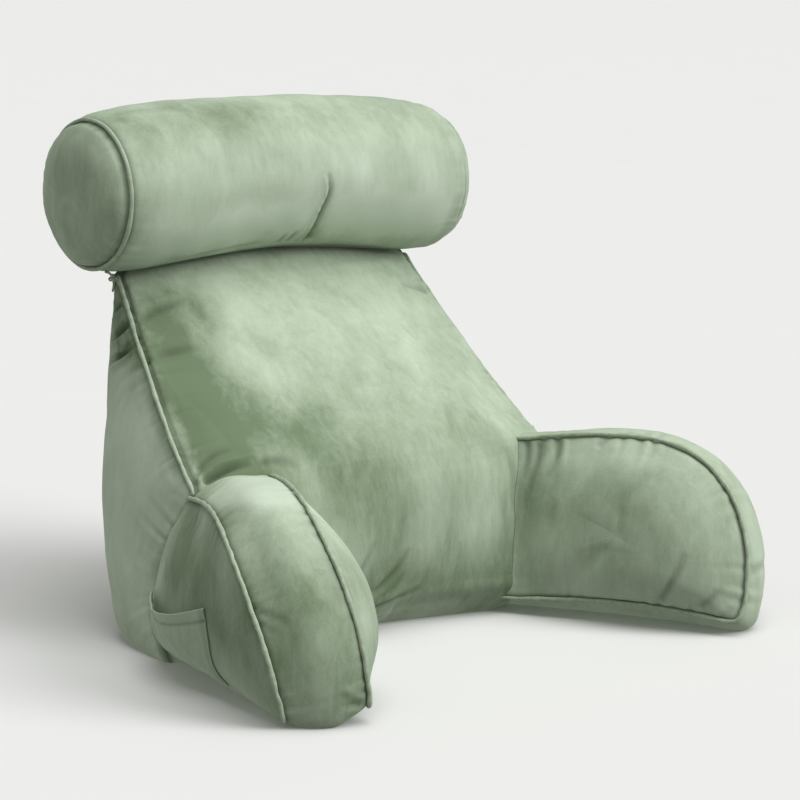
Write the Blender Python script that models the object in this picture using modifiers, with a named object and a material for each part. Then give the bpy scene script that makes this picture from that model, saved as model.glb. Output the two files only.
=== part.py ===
"""Reading pillow with arms: a wedge backrest, two splayed arms, a neck bolster, piping and a pocket.

Metres, +Z up. The sitter's side faces -Y and +X is to the right of someone facing the pillow.
The origin is on the floor, under the middle of the backrest's flat base.
"""
import math

import bmesh
import bpy
import numpy as np
from mathutils import Vector
from mathutils.bvhtree import BVHTree

# Clearances and sewn trim
GAP = 0.0003                  # between neighbouring pieces
WELT_RADIUS = 0.0025          # piping, half its diameter
WELT_LEG = 0.0040             # legs of the bevel that the piping lies on
WELT_RINGS = 1                # bevel resolution: six sides
CUTTER_SWELL = 0.00045        # how far a cutter stands off the piece it copies

# Backrest
BACKREST_TOP = 0.4195
SEAM_DEPTH = 0.0038           # how deep the front seams' bevel is, measured on the level
FRONT_WELT_LOW = 0.193        # height where the front seam ends under the arm
FRONT_WELT_HIGH = 0.4125

# Arms
ARM_FOOT = (0.1505, -0.167)   # where the inner panel's plane meets the floor, on the right
ARM_SPLAY = math.radians(27.3)
ARM_LEAN = math.radians(14.4)
ARM_LENGTH = 0.293
ARM_HEIGHT = 0.2085           # inner panel, along its lean
ARM_HEIGHT_REAR = 0.197
ARM_FLAT_TOP = 0.127          # length of the nearly level top before it rounds down
ARM_REACH_BACK = 0.130        # hidden stretch that the backrest trims away
ARM_THICKNESS = 0.090         # width of the strip between the two piped seams
INNER_SEAM_HEIGHT = 0.0196    # bottom ends of the seams, above the floor
OUTER_SEAM_HEIGHT = 0.0035
INNER_SEAM_BOW = 0.008        # how far the inner bottom seam rises between its ends
OUTER_WELT_STOP = 0.35        # share of the last stretch where the outer piping has ended
INNER_ROUNDNESS = 2.42        # exponents of the panels' front quarters
OUTER_ROUNDNESS = 2.2
ARM_TOE = 0.012               # how far the front edge draws back at the floor
ARM_STRIP_CROWN = 0.014
ARM_INNER_CROWN = 0.044
ARM_OUTER_CROWN = 0.028
ARM_FLARE = 0.071             # extra width of the base at the backrest
PANEL_SHARES = (0.10, 0.24, 0.38, 0.52, 0.66, 0.78, 0.87, 0.93)   # rings, middle to seam

# Bolster
BOLSTER_RADIUS = 0.1002       # at mid length
BOLSTER_END_RADIUS = 0.0872   # at the piped seams
BOLSTER_ROUNDING = 10         # exponent of the barrel's fall towards its ends
BOLSTER_Z = 0.5200            # its axis, at mid length
BOLSTER_ARCH = 0.0098         # how far its ends hang below its middle
BOLSTER_PRESS = 0.014         # how far the ridge presses its underside up at mid length
BOLSTER_PRESS_FALL = 1.3      # exponent of that towards its ends
BOLSTER_HALF_LENGTH = 0.2583
BOLSTER_CAP_CROWN = 0.0284
BOLSTER_Y = 0.1293
BOLSTER_STEPS = 40

# Pocket on the left arm's outer panel, its corners as (along the arm, up the panel)
POCKET_SHEET = 0.0018
POCKET_LIFT = 0.0009          # between the sheet's sewn edges and the panel
POCKET_GAPE = 0.020           # how far the mouth stands off the panel
POCKET_MOUTH_REAR = (-0.032, 0.115)
POCKET_MOUTH_FRONT = (0.147, 0.129)
POCKET_BASE_REAR = (0.006, 0.056)
POCKET_BASE_FRONT = (0.151, 0.050)
POCKET_SAG = 0.008            # droop of the mouth between its corners

# Ties that hold the bolster's ends to the backrest's top corners
TIE_RADIUS = 0.0014
# Steps of each tie from the corner below it: outward, backward and upward
TIE_ROUTES = {
    "left": ((0.0040, 0.014, -0.006), (0.0034, 0.012, 0.002), (0.0066, 0.009, 0.0105),
             (0.0140, 0.005, 0.0178), (0.0225, 0.002, 0.0204)),
    "right": ((0.0018, 0.026, -0.008), (0.0016, 0.027, 0.001), (0.0052, 0.030, 0.0110),
              (0.0130, 0.036, 0.0194), (0.0225, 0.044, 0.0237)),
}

SAGE = (0.42, 0.50, 0.39, 1.0)
SAGE_DARK = (0.30, 0.37, 0.28, 1.0)

# Backrest sections, right half, from the floor up. Each row gives the height, the back corner
# and its radius, the side corner (the piped seam), the front corner beside the arm, and the
# middle of the front.
SECTION_COLUMNS = ("z", "back_x", "back_y", "back_r", "side_x", "side_y",
                   "front_x", "front_y", "mid_y")
SECTIONS = (
    (0.000, 0.280, 0.070, 0.095, 0.305, -0.085, 0.134, -0.122, -0.092),
    (0.010, 0.288, 0.090, 0.112, 0.308, -0.080, 0.148, -0.148, -0.112),
    (0.020, 0.292, 0.103, 0.120, 0.307, -0.074, 0.155, -0.165, -0.122),
    (0.050, 0.292, 0.118, 0.116, 0.300, -0.050, 0.161, -0.161, -0.141),
    (0.080, 0.291, 0.126, 0.102, 0.294, -0.038, 0.167, -0.155, -0.150),
    (0.110, 0.285, 0.128, 0.086, 0.288, -0.047, 0.173, -0.150, -0.153),
    (0.140, 0.279, 0.129, 0.068, 0.281, -0.062, 0.179, -0.144, -0.154),
    (0.170, 0.273, 0.131, 0.055, 0.275, -0.081, 0.185, -0.139, -0.151),
    (0.189, 0.269, 0.132, 0.048, 0.271, -0.091, 0.189, -0.136, -0.146),
    (0.210, 0.264, 0.134, 0.042, 0.2666, -0.0680, 0.192, -0.130, -0.138),
    (0.260, 0.253, 0.138, 0.032, 0.2556, -0.0150, 0.188, -0.070, -0.088),
    (0.320, 0.240, 0.141, 0.022, 0.2425, 0.0420, 0.182, 0.003, -0.013),
    (0.370, 0.229, 0.141, 0.014, 0.2315, 0.0870, 0.175, 0.063, 0.051),
    (0.400, 0.223, 0.1385, 0.008, 0.2249, 0.1120, 0.170, 0.101, 0.094),
    (0.4145, 0.2200, 0.134, 0.004, 0.2217, 0.1248, 0.168, 0.120, 0.117),
    (0.4195, 0.2160, 0.1325, 0.002, 0.2160, 0.1275, 0.166, 0.1265, 0.126),
)
SECTION_LEVELS = (0.0, 0.003, 0.008, 0.014, 0.022, 0.035, 0.052, 0.070, 0.090, 0.110, 0.130,
                  0.150, 0.170, 0.189, 0.207, 0.228, 0.252, 0.278, 0.304, 0.330, 0.356, 0.38,
                  0.398, 0.410, 0.4165, 0.4195)
CORNER_SHARE = 0.72           # most of a side that a rounded corner may take
FRONT_ROUNDING_AT = (0.0, 0.46, 0.62, 0.96, 1.0)     # shares of the height
FRONT_ROUNDING = (0.012, 0.012, 0.060, 0.020, 0.9)   # the front corner's radius there
RIDGE_CROWN = 0.015           # how much higher the ridge is in its middle
RIDGE_CROWN_FROM = 0.24       # height where that begins
BACK_CROWN = 0.008
SIDE_CROWN = 0.007


def clear_scene():
    """Remove whatever the file opened with."""
    for thing in list(bpy.data.objects):
        bpy.data.objects.remove(thing, do_unlink=True)


def new_collection(name):
    """Add a collection to the scene and return it."""
    collection = bpy.data.collections.new(name)
    bpy.context.scene.collection.children.link(collection)
    return collection


def velvet(name, color):
    """Return a plain short-pile cloth material."""
    material = bpy.data.materials.new(name)
    material.use_nodes = True
    shader = material.node_tree.nodes["Principled BSDF"]
    shader.inputs["Base Color"].default_value = color
    shader.inputs["Roughness"].default_value = 0.85
    shader.inputs["Metallic"].default_value = 0.0
    return material


def place(name, mesh, collection, color=SAGE):
    """Make an object of a mesh, with a material of its own, and shade it smooth."""
    thing = bpy.data.objects.new(name, mesh)
    collection.objects.link(thing)
    mesh.materials.clear()
    mesh.materials.append(velvet(name + "_cloth", color))
    mesh.shade_smooth()
    return thing


def as_cutter(thing):
    """Hide a piece that only cuts others."""
    thing.hide_render = True
    thing.display_type = "WIRE"


def evaluated_mesh(thing, name):
    """Return a new mesh of an object as its modifiers leave it, in world space and welded."""
    depsgraph = bpy.context.evaluated_depsgraph_get()
    mesh = bpy.data.meshes.new_from_object(thing.evaluated_get(depsgraph))
    mesh.name = name
    mesh.transform(thing.matrix_world)
    body = bmesh.new()
    body.from_mesh(mesh)
    bmesh.ops.remove_doubles(body, verts=body.verts, dist=0.00001)
    bmesh.ops.recalc_face_normals(body, faces=body.faces)
    body.to_mesh(mesh)
    body.free()
    return mesh


def grid_mesh(name, rings, closed, start_cap, end_cap):
    """Loft rings of equally many points into a mesh.

    A cap is "face" for one flat face over the end ring, "pole" for a fan to its middle point,
    or "open".
    """
    rings = np.asarray(rings)
    count = rings.shape[1]
    body = bmesh.new()
    rows = [[body.verts.new(point) for point in ring] for ring in rings]
    steps = count if closed else count - 1
    for low, high in zip(rows[:-1], rows[1:]):
        for k in range(steps):
            body.faces.new((low[k], low[(k + 1) % count], high[(k + 1) % count], high[k]))
    for cap, row, ring in ((start_cap, rows[0], rings[0]), (end_cap, rows[-1], rings[-1])):
        if cap == "face":
            body.faces.new(row)
        elif cap == "pole":
            middle = body.verts.new(ring.mean(axis=0))
            for k in range(steps):
                body.faces.new((row[k], row[(k + 1) % count], middle))
    bmesh.ops.recalc_face_normals(body, faces=body.faces)
    bmesh.ops.triangulate(body, faces=body.faces)
    mesh = bpy.data.meshes.new(name)
    body.to_mesh(mesh)
    body.free()
    return mesh


def smooth_column(heights, values, levels):
    """Interpolate a table column with a cubic that keeps to the table's own slopes."""
    slopes = np.gradient(values, heights)
    index = np.clip(np.searchsorted(heights, levels, side="right") - 1, 0, len(heights) - 2)
    width = heights[index + 1] - heights[index]
    t = (levels - heights[index]) / width
    blend = t * t * (3 - 2 * t)
    start = values[index] + (levels - heights[index]) * slopes[index]
    end = values[index + 1] - (heights[index + 1] - levels) * slopes[index + 1]
    eased = start * (1 - blend) + end * blend
    plain = values[index] * (1 - t) + values[index + 1] * t
    return 0.6 * eased + 0.4 * plain


def bowed_run(start, end, crown, count):
    """Points from start to end, both left out, bowed to the right of the way by the crown."""
    t = (np.arange(count) + 1) / (count + 1)
    way = end - start
    across = np.array((way[1], -way[0])) / max(np.hypot(*way), 1e-9)
    return start + t[:, None] * way + (crown * np.sin(math.pi * t))[:, None] * across


def rounded_corner(before, corner, after, radius, count):
    """Points on an arc that rounds a corner, its two ends included."""
    inward = (before - corner) / np.hypot(*(before - corner))
    outward = (after - corner) / np.hypot(*(after - corner))
    half = math.acos(np.clip(inward @ outward, -1, 1)) / 2
    reach = radius / math.tan(half)
    reach = min(reach, CORNER_SHARE * np.hypot(*(before - corner)),
                CORNER_SHARE * np.hypot(*(after - corner)))
    radius = reach * math.tan(half)
    bisector = (inward + outward) / np.hypot(*(inward + outward))
    middle = corner + bisector * radius / math.sin(half)
    first = corner + inward * reach - middle
    last = corner + outward * reach - middle
    turn = math.atan2(first[0] * last[1] - first[1] * last[0], first @ last)
    angles = math.atan2(first[1], first[0]) + np.linspace(0, turn, count)
    return middle + radius * np.stack((np.cos(angles), np.sin(angles)), axis=1)


def backrest_section(row):
    """Right half of one level of the backrest, from the middle of the front to the middle of the back."""
    mid_front = np.array((0.0, row["mid_y"]))
    front = np.array((row["front_x"], row["front_y"]))
    side = np.array((row["side_x"], row["side_y"]))
    back = np.array((row["back_x"], row["back_y"]))
    mid_back = np.array((0.0, row["back_y"] + BACK_CROWN * row["fullness"]))
    toward_front = (front - side) / np.hypot(*(front - side))
    toward_back = (back - side) / np.hypot(*(back - side))
    leg = SEAM_DEPTH / math.sqrt((1 + toward_front @ toward_back) / 2)
    lip_front = side + toward_front * leg
    lip_back = side + toward_back * min(leg, 0.4 * np.hypot(*(back - side)))
    front_arc = rounded_corner(mid_front, front, side, row["front_r"], 5)
    back_arc = rounded_corner(lip_back, back, mid_back, row["back_r"], 6)
    return np.concatenate((
        mid_front[None],
        bowed_run(mid_front, front_arc[0], 0.0, 5),
        front_arc,
        bowed_run(front_arc[-1], lip_front, 0.003 * row["fullness"], 2),
        lip_front[None],
        lip_back[None],
        bowed_run(lip_back, back_arc[0], SIDE_CROWN * row["fullness"], 4),
        back_arc,
        bowed_run(back_arc[-1], mid_back, 0.0, 3),
        mid_back[None],
    ))


def backrest_rows():
    """Section values at every level of the loft, one dictionary a level."""
    table = np.array(SECTIONS)
    levels = np.array(SECTION_LEVELS)
    columns = {"z": levels}
    for number, name in enumerate(SECTION_COLUMNS[1:], start=1):
        columns[name] = smooth_column(table[:, 0], table[:, number], levels)
    height = levels / BACKREST_TOP
    columns["fullness"] = np.sqrt(np.clip(np.sin(math.pi * np.clip(height, 0.03, 0.97)), 0, 1))
    columns["front_r"] = np.interp(height, FRONT_ROUNDING_AT, FRONT_ROUNDING)
    return [{name: values[k] for name, values in columns.items()} for k in range(len(levels))]


def build_backrest(collection):
    """The wedge: a half lofted level by level from its flat base to its ridge, then mirrored."""
    rings = []
    for row in backrest_rows():
        section = backrest_section(row)
        ease = np.clip((row["z"] - RIDGE_CROWN_FROM) / (BACKREST_TOP - RIDGE_CROWN_FROM), 0, 1)
        lift = RIDGE_CROWN * ease ** 1.5 * (1 - (section[:, 0] / section[:, 0].max()) ** 2)
        rings.append(np.column_stack((section, row["z"] + lift)))
    mesh = grid_mesh("backrest", rings, False, "face", "face")
    backrest = place("backrest", mesh, collection)
    mirror = backrest.modifiers.new("Mirror", "MIRROR")
    mirror.merge_threshold = 0.0001
    return backrest


def arm_axes(side):
    """Unit vectors of an arm: forward, up its inner panel, and outward through its thickness."""
    splay, lean = ARM_SPLAY, ARM_LEAN
    forward = np.array((side * math.sin(splay), -math.cos(splay), 0.0))
    up = np.array((side * math.sin(lean) * math.cos(splay), math.sin(lean) * math.sin(splay),
                   math.cos(lean)))
    outward = np.array((side * math.cos(lean) * math.cos(splay), math.cos(lean) * math.sin(splay),
                        -math.sin(lean)))
    return forward, up, outward


def arm_outline(roundness):
    """Closed outline of an arm's panel: points (along, up), mitred normals and the runs' counts.

    It runs forward along the top, down the rounded front, back along the bottom seam and up the
    hidden rear edge.
    """
    t = np.linspace(0, 1, 16)[:-1]
    rear = -ARM_REACH_BACK
    along = rear + (ARM_FLAT_TOP - rear) * t
    rise = np.clip(along / ARM_FLAT_TOP, -1, 1)
    top = np.stack((along, ARM_HEIGHT_REAR + (ARM_HEIGHT - ARM_HEIGHT_REAR)
                    * np.sin(rise * math.pi / 2)), axis=1)
    q = np.linspace(0, math.pi / 2, 17)
    power = 2 / roundness
    reach = ARM_LENGTH - ARM_FLAT_TOP
    front = np.stack((ARM_FLAT_TOP + reach * np.sin(q) ** power,
                      ARM_HEIGHT * np.cos(q).clip(0) ** power), axis=1)
    front[:, 0] -= ARM_TOE * (1 - front[:, 1] / ARM_HEIGHT) ** 4
    s = np.linspace(0, 1, 15)[1:]
    bottom = np.stack((front[-1, 0] + (rear - front[-1, 0]) * s, np.zeros(len(s))), axis=1)
    v = np.linspace(0, 1, 6)[1:-1]
    back = np.stack((np.full(len(v), rear), top[0, 1] * v), axis=1)
    points = np.concatenate((top, front, bottom, back))
    ahead = np.roll(points, -1, axis=0) - points
    ahead /= np.hypot(ahead[:, 0], ahead[:, 1])[:, None]
    tangent = ahead + np.roll(ahead, 1, axis=0)
    normal = 2 * np.stack((-tangent[:, 1], tangent[:, 0]), axis=1)
    normal /= (tangent ** 2).sum(axis=1)[:, None]
    return points, normal, len(top), len(front), len(bottom)


def arm_space(side, plane, offset):
    """Carry points (along, up) at a depth through the arm into the world.

    The bottom seam stays level although the arm leans, because the height up the panel is
    squeezed between the floor line at that depth and the top.
    """
    forward, up, outward = arm_axes(side)
    along = plane[:, 0]
    depth = np.clip(offset / ARM_THICKNESS, 0.0, 1.0)
    inner = INNER_SEAM_HEIGHT + INNER_SEAM_BOW * np.sin(math.pi * np.clip(along / ARM_LENGTH, 0, 1))
    seam = inner + (OUTER_SEAM_HEIGHT - inner) * depth
    low = (seam + offset * math.sin(ARM_LEAN)) / math.cos(ARM_LEAN)
    top = ARM_HEIGHT + INNER_SEAM_HEIGHT / math.cos(ARM_LEAN)
    height = low + plane[:, 1] * (top - low) / ARM_HEIGHT
    foot = np.array((side * ARM_FOOT[0], ARM_FOOT[1], 0.0))
    world = foot + along[:, None] * forward + height[:, None] * up + offset[:, None] * outward
    world[:, 2] = np.maximum(world[:, 2], 0.0)
    return world


def base_flare(plane):
    """Extra width of the arm's base, full at the floor beside the backrest."""
    rearward = np.clip(1 - plane[:, 0] / (0.95 * ARM_LENGTH), 0, 1.12)
    low = np.clip(1 - plane[:, 1] / ARM_HEIGHT, 0, 1)
    return ARM_FLARE * rearward ** 1.1 * low


def panel_crown(plane, share, rear, shift, height):
    """How far a panel stands proud: a bump along the arm and up it, nothing at its seam.

    The rear is where the bump starts along the arm; a shift above 1 moves it forward.
    """
    along = np.clip((plane[:, 0] - rear) / (ARM_LENGTH - rear), 0, 1) ** shift
    rise = np.clip(plane[:, 1] / ARM_HEIGHT, 0, 1)
    bump = np.sin(math.pi * along) * np.sin(math.pi * rise ** 0.75)
    return height * np.clip(bump, 0, 1) ** 0.65 * (1 - share ** 5)


def arm_rings(side):
    """Rings of the arm from the middle of its inner panel, over the strip, to the outer middle."""
    inner, inner_normal = arm_outline(INNER_ROUNDNESS)[:2]
    outer, outer_normal = arm_outline(OUTER_ROUNDNESS)[:2]
    centre = np.array((0.45 * ARM_LENGTH, 0.42 * ARM_HEIGHT))
    rings = []
    for share in PANEL_SHARES:
        plane = centre + share * (inner - centre)
        crown = panel_crown(plane, share, 0.0, 1.5, ARM_INNER_CROWN)
        rings.append(arm_space(side, plane, -crown))
    rings.append(arm_space(side, inner - WELT_LEG * inner_normal, np.zeros(len(inner))))
    for depth in (WELT_LEG / ARM_THICKNESS, 0.22, 0.5, 0.78, 1 - WELT_LEG / ARM_THICKNESS):
        crown = max(ARM_STRIP_CROWN * math.sin(math.pi * (depth - 0.045) / 0.91), 0.0)
        points = (1 - depth) * inner + depth * outer
        normal = (1 - depth) * inner_normal + depth * outer_normal
        rings.append(arm_space(side, points + crown * normal,
                               depth * (ARM_THICKNESS + base_flare(points))))
    rings.append(arm_space(side, outer - WELT_LEG * outer_normal,
                           ARM_THICKNESS + base_flare(outer)))
    for share in reversed(PANEL_SHARES):
        plane = centre + share * (outer - centre)
        crown = panel_crown(plane, share, -ARM_REACH_BACK, 1.0, ARM_OUTER_CROWN)
        rings.append(arm_space(side, plane, ARM_THICKNESS + crown + base_flare(plane)))
    return rings


def subtract(thing, cutter):
    """Cut one piece by another with a Boolean modifier."""
    cut = thing.modifiers.new("Cut " + cutter.name, "BOOLEAN")
    cut.operation = "DIFFERENCE"
    cut.object = cutter
    cut.solver = "EXACT"


def swollen_copy(thing, name, swell, cutters):
    """A cutter that copies a piece and stands off it by the swell."""
    mesh = evaluated_mesh(thing, name)
    body = bmesh.new()
    body.from_mesh(mesh)
    body.normal_update()
    for vert in body.verts:
        vert.co += vert.normal * swell * min(vert.calc_shell_factor(), 2.0)
    body.to_mesh(mesh)
    body.free()
    cutter = bpy.data.objects.new(name, mesh)
    cutters.objects.link(cutter)
    as_cutter(cutter)
    return cutter


def tube(name, path, radius, collection, rings=WELT_RINGS, cyclic=False):
    """A round cord along a path, made a mesh with its caps welded."""
    data = bpy.data.curves.new(name, "CURVE")
    data.dimensions = "3D"
    data.bevel_depth = radius
    data.bevel_resolution = rings
    data.use_fill_caps = True
    spline = data.splines.new("POLY")
    spline.points.add(len(path) - 1)
    spline.use_cyclic_u = cyclic
    for point, place_at in zip(spline.points, path):
        point.co = (*place_at, 1.0)
    guide = bpy.data.objects.new(name + "_guide", data)
    collection.objects.link(guide)
    bpy.context.view_layer.update()
    mesh = evaluated_mesh(guide, name)
    bpy.data.objects.remove(guide)
    return mesh


def build_front_welts(collection, cutters):
    """Piping of the backrest's two front seams, and the swollen cords that part the arms from it."""
    levels = [row for row in backrest_rows() if FRONT_WELT_LOW < row["z"] < FRONT_WELT_HIGH]
    path = [(row["side_x"], row["side_y"], row["z"]) for row in levels]
    first, second = np.array(path[0]), np.array(path[1])
    share = (path[0][2] - FRONT_WELT_LOW) / (path[1][2] - path[0][2])
    path.insert(0, tuple(first + (first - second) * share))
    welts = {}
    for side, word in ((1, "right"), (-1, "left")):
        placed = [(side * x, y, z) for x, y, z in path]
        name = "welt_backrest_" + word
        welt = place(name, tube(name, placed, WELT_RADIUS, cutters), collection, SAGE_DARK)
        welts[side] = swollen_copy(welt, name + "_room", CUTTER_SWELL, cutters)
    return welts


def build_arm(side, word, collection, cutters, backrest_room, welt_room):
    """One arm, trimmed where the backrest and its front piping press into it."""
    mesh = grid_mesh("arm_" + word, arm_rings(side), True, "pole", "pole")
    arm = place("arm_" + word, mesh, collection)
    subtract(arm, backrest_room)
    subtract(arm, welt_room)
    return arm


def build_arm_welts(side, word, collection, cutters, backrest_room):
    """Piping of an arm: the inner seam runs on along the bottom, the outer one ends at the floor."""
    points, _, top, front, bottom = arm_outline(INNER_ROUNDNESS)
    inner = arm_space(side, points, np.zeros(len(points)))[:top + front + bottom]
    points = arm_outline(OUTER_ROUNDNESS)[0]
    outer = arm_space(side, points, ARM_THICKNESS + base_flare(points))[:top + front]
    outer[-1] += OUTER_WELT_STOP * (outer[-2] - outer[-1])
    for name, path in (("welt_arm_inner_" + word, inner), ("welt_arm_outer_" + word, outer)):
        welt = place(name, tube(name, path, WELT_RADIUS, cutters), collection, SAGE_DARK)
        subtract(welt, backrest_room)


def bolster_profile():
    """Half outline of the bolster as (radius, along), from one cap's middle to the other's."""
    q = np.linspace(0, 1, 7)
    seam = BOLSTER_HALF_LENGTH
    inner = BOLSTER_END_RADIUS - WELT_LEG
    cap = [(inner * share, seam + BOLSTER_CAP_CROWN * (1 - share ** 2.2) ** 0.6) for share in q]
    run = np.sin(np.linspace(1, -1, 25) * math.pi / 2) * (seam - WELT_LEG)
    fall = BOLSTER_RADIUS - BOLSTER_END_RADIUS
    barrel = [(BOLSTER_RADIUS - fall * abs(a / run[0]) ** BOLSTER_ROUNDING, a) for a in run]
    return cap + barrel + [(radius, -along) for radius, along in reversed(cap)]


def settle(mesh):
    """Let a piece of the bolster hang towards its ends, and press its underside up between them."""
    for vert in mesh.vertices:
        share = abs(vert.co.x) / BOLSTER_HALF_LENGTH
        below = max(BOLSTER_Z - vert.co.z, 0.0) / BOLSTER_RADIUS
        press = BOLSTER_PRESS * max(1 - share ** BOLSTER_PRESS_FALL, 0.0)
        vert.co.z += press * below ** 1.5 - BOLSTER_ARCH * share ** 2


def build_bolster(collection, cutters, backrest_room):
    """The bolster is turned about its length and laid on the backrest's ridge, which dents it."""
    profile = bpy.data.meshes.new("bolster_profile")
    points = [(radius, 0.0, along) for radius, along in bolster_profile()]
    profile.from_pydata(points, [(k, k + 1) for k in range(len(points) - 1)], [])
    turned = bpy.data.objects.new("bolster_turned", profile)
    cutters.objects.link(turned)
    screw = turned.modifiers.new("Screw", "SCREW")
    screw.axis = "Z"
    screw.steps = BOLSTER_STEPS
    screw.render_steps = BOLSTER_STEPS
    screw.use_merge_vertices = True
    screw.merge_threshold = 0.0001
    turned.rotation_euler = (0.0, math.pi / 2, 0.0)
    turned.location = (0.0, BOLSTER_Y, BOLSTER_Z)
    bpy.context.view_layer.update()
    mesh = evaluated_mesh(turned, "bolster")
    bpy.data.objects.remove(turned)
    settle(mesh)
    bolster = place("bolster", mesh, collection)
    subtract(bolster, backrest_room)
    for side, word in ((1, "right"), (-1, "left")):
        bpy.ops.mesh.primitive_torus_add(
            major_radius=BOLSTER_END_RADIUS, minor_radius=WELT_RADIUS,
            major_segments=BOLSTER_STEPS, minor_segments=6,
            location=(side * BOLSTER_HALF_LENGTH, BOLSTER_Y, BOLSTER_Z),
            rotation=(0.0, math.pi / 2, 0.0))
        ring = bpy.context.active_object
        bpy.context.view_layer.update()
        mesh = evaluated_mesh(ring, "welt_bolster_" + word)
        bpy.data.objects.remove(ring)
        settle(mesh)
        place("welt_bolster_" + word, mesh, collection, SAGE_DARK)


def build_pocket(collection, arm):
    """The pocket: a sheet laid on the left arm's outer panel that stands open at its mouth."""
    forward, up, outward = arm_axes(-1)
    foot = np.array((-ARM_FOOT[0], ARM_FOOT[1], 0.0))
    bpy.context.view_layer.update()
    shape = bpy.data.meshes.new_from_object(
        arm.evaluated_get(bpy.context.evaluated_depsgraph_get()))
    panel = BVHTree.FromPolygons([v.co for v in shape.vertices],
                                 [tuple(p.vertices) for p in shape.polygons])
    across = np.linspace(0, 1, 13)
    rows = []
    for high in np.linspace(0, 1, 10):
        row = []
        for wide in across:
            bow = math.sin(math.pi * wide)
            base = (1 - wide) * np.array(POCKET_BASE_REAR) + wide * np.array(POCKET_BASE_FRONT)
            mouth = (1 - wide) * np.array(POCKET_MOUTH_REAR) + wide * np.array(POCKET_MOUTH_FRONT)
            mouth[1] -= POCKET_SAG * bow
            along, rise = base + (mouth - base) * high
            start = foot + along * forward + rise * up + 0.4 * outward
            hit = panel.ray_cast(Vector(start), Vector(-outward))[0]
            lift = POCKET_LIFT + POCKET_GAPE * bow ** 0.65 * high ** 1.1
            row.append(np.array(hit) + lift * outward)
        rows.append(row)
    bpy.data.meshes.remove(shape)
    mesh = grid_mesh("pocket", rows, False, "open", "open")
    body = bmesh.new()
    body.from_mesh(mesh)
    if sum(face.normal.dot(Vector(outward)) for face in body.faces) < 0:
        bmesh.ops.reverse_faces(body, faces=body.faces)
    body.to_mesh(mesh)
    body.free()
    pocket = place("pocket", mesh, collection)
    wall = pocket.modifiers.new("Solidify", "SOLIDIFY")
    wall.thickness = POCKET_SHEET
    wall.offset = 1.0
    return pocket


def build_ties(collection, cutters):
    """Short cords that tie the bolster's ends to the backrest's top corners."""
    corner = Vector((SECTIONS[-3][4], SECTIONS[-3][5], SECTIONS[-3][0]))
    for side, word in ((1, "right"), (-1, "left")):
        name = "tie_" + word
        route = [corner + Vector(step) for step in TIE_ROUTES[word]]
        path = [(side * point.x, point.y, point.z) for point in route]
        place(name, tube(name, path, TIE_RADIUS, cutters), collection, SAGE_DARK)


def main():
    """Build every piece of the pillow."""
    clear_scene()
    pieces = new_collection("reading_pillow")
    cutters = new_collection("cutters")
    backrest = build_backrest(pieces)
    bpy.context.view_layer.update()
    backrest_room = swollen_copy(backrest, "backrest_room", CUTTER_SWELL, cutters)
    welt_rooms = build_front_welts(pieces, cutters)
    arms = {}
    for side, word in ((1, "right"), (-1, "left")):
        arms[side] = build_arm(side, word, pieces, cutters, backrest_room, welt_rooms[side])
        build_arm_welts(side, word, pieces, cutters, backrest_room)
    build_bolster(pieces, cutters, backrest_room)
    build_pocket(pieces, arms[-1])
    build_ties(pieces, cutters)


main()
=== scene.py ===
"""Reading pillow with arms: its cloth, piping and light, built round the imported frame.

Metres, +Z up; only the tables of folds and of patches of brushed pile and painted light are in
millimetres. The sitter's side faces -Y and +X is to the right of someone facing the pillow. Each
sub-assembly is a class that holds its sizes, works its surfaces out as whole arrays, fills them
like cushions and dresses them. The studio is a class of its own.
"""
import logging
import math
from abc import ABC, abstractmethod
from dataclasses import dataclass, field
from enum import Enum
from typing import Iterable, Sequence

import bmesh
import bpy
import numpy as np
from mathutils import Matrix, Vector
from mathutils.bvhtree import BVHTree


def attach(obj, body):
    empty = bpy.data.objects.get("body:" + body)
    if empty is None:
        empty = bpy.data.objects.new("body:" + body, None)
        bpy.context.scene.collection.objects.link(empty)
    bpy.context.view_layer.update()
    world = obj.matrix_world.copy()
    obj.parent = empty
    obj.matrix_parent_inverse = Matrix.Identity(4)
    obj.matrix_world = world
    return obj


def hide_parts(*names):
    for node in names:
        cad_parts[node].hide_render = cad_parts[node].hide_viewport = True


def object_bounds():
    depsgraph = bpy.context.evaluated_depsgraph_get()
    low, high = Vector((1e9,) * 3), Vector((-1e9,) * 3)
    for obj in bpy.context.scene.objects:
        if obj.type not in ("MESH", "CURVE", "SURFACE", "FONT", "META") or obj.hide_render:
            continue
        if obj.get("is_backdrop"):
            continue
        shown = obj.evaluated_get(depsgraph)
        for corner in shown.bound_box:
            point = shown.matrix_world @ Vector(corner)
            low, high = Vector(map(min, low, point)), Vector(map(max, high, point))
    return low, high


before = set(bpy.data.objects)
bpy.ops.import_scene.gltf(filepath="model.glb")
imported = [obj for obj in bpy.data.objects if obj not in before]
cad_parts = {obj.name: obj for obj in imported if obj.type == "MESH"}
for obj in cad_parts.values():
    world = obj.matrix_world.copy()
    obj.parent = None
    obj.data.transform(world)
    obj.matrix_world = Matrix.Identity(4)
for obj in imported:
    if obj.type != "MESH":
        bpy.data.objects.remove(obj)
CAD_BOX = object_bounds()
LOG = logging.getLogger("reading_pillow")

Array = np.ndarray
Point = tuple[float, float, float]
Pairs = tuple[tuple[float, float], ...]
Colour = tuple[float, float, float, float]

# Sizes that several pieces share
WELT_RADIUS = 0.0025           # piping, half its diameter
WELT_LEG = 0.0040              # legs of the bevel that the piping lies on
CLEARANCE = 0.0006             # between the cloth of two neighbours
STITCH = 0.004                 # spacing of the points that a seam's distances are taken from
FLOOR_EASE = 0.006             # below this height, folds and swells fade out
SHEEN_TINT = (0.80, 0.92, 0.74, 1.0)

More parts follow.
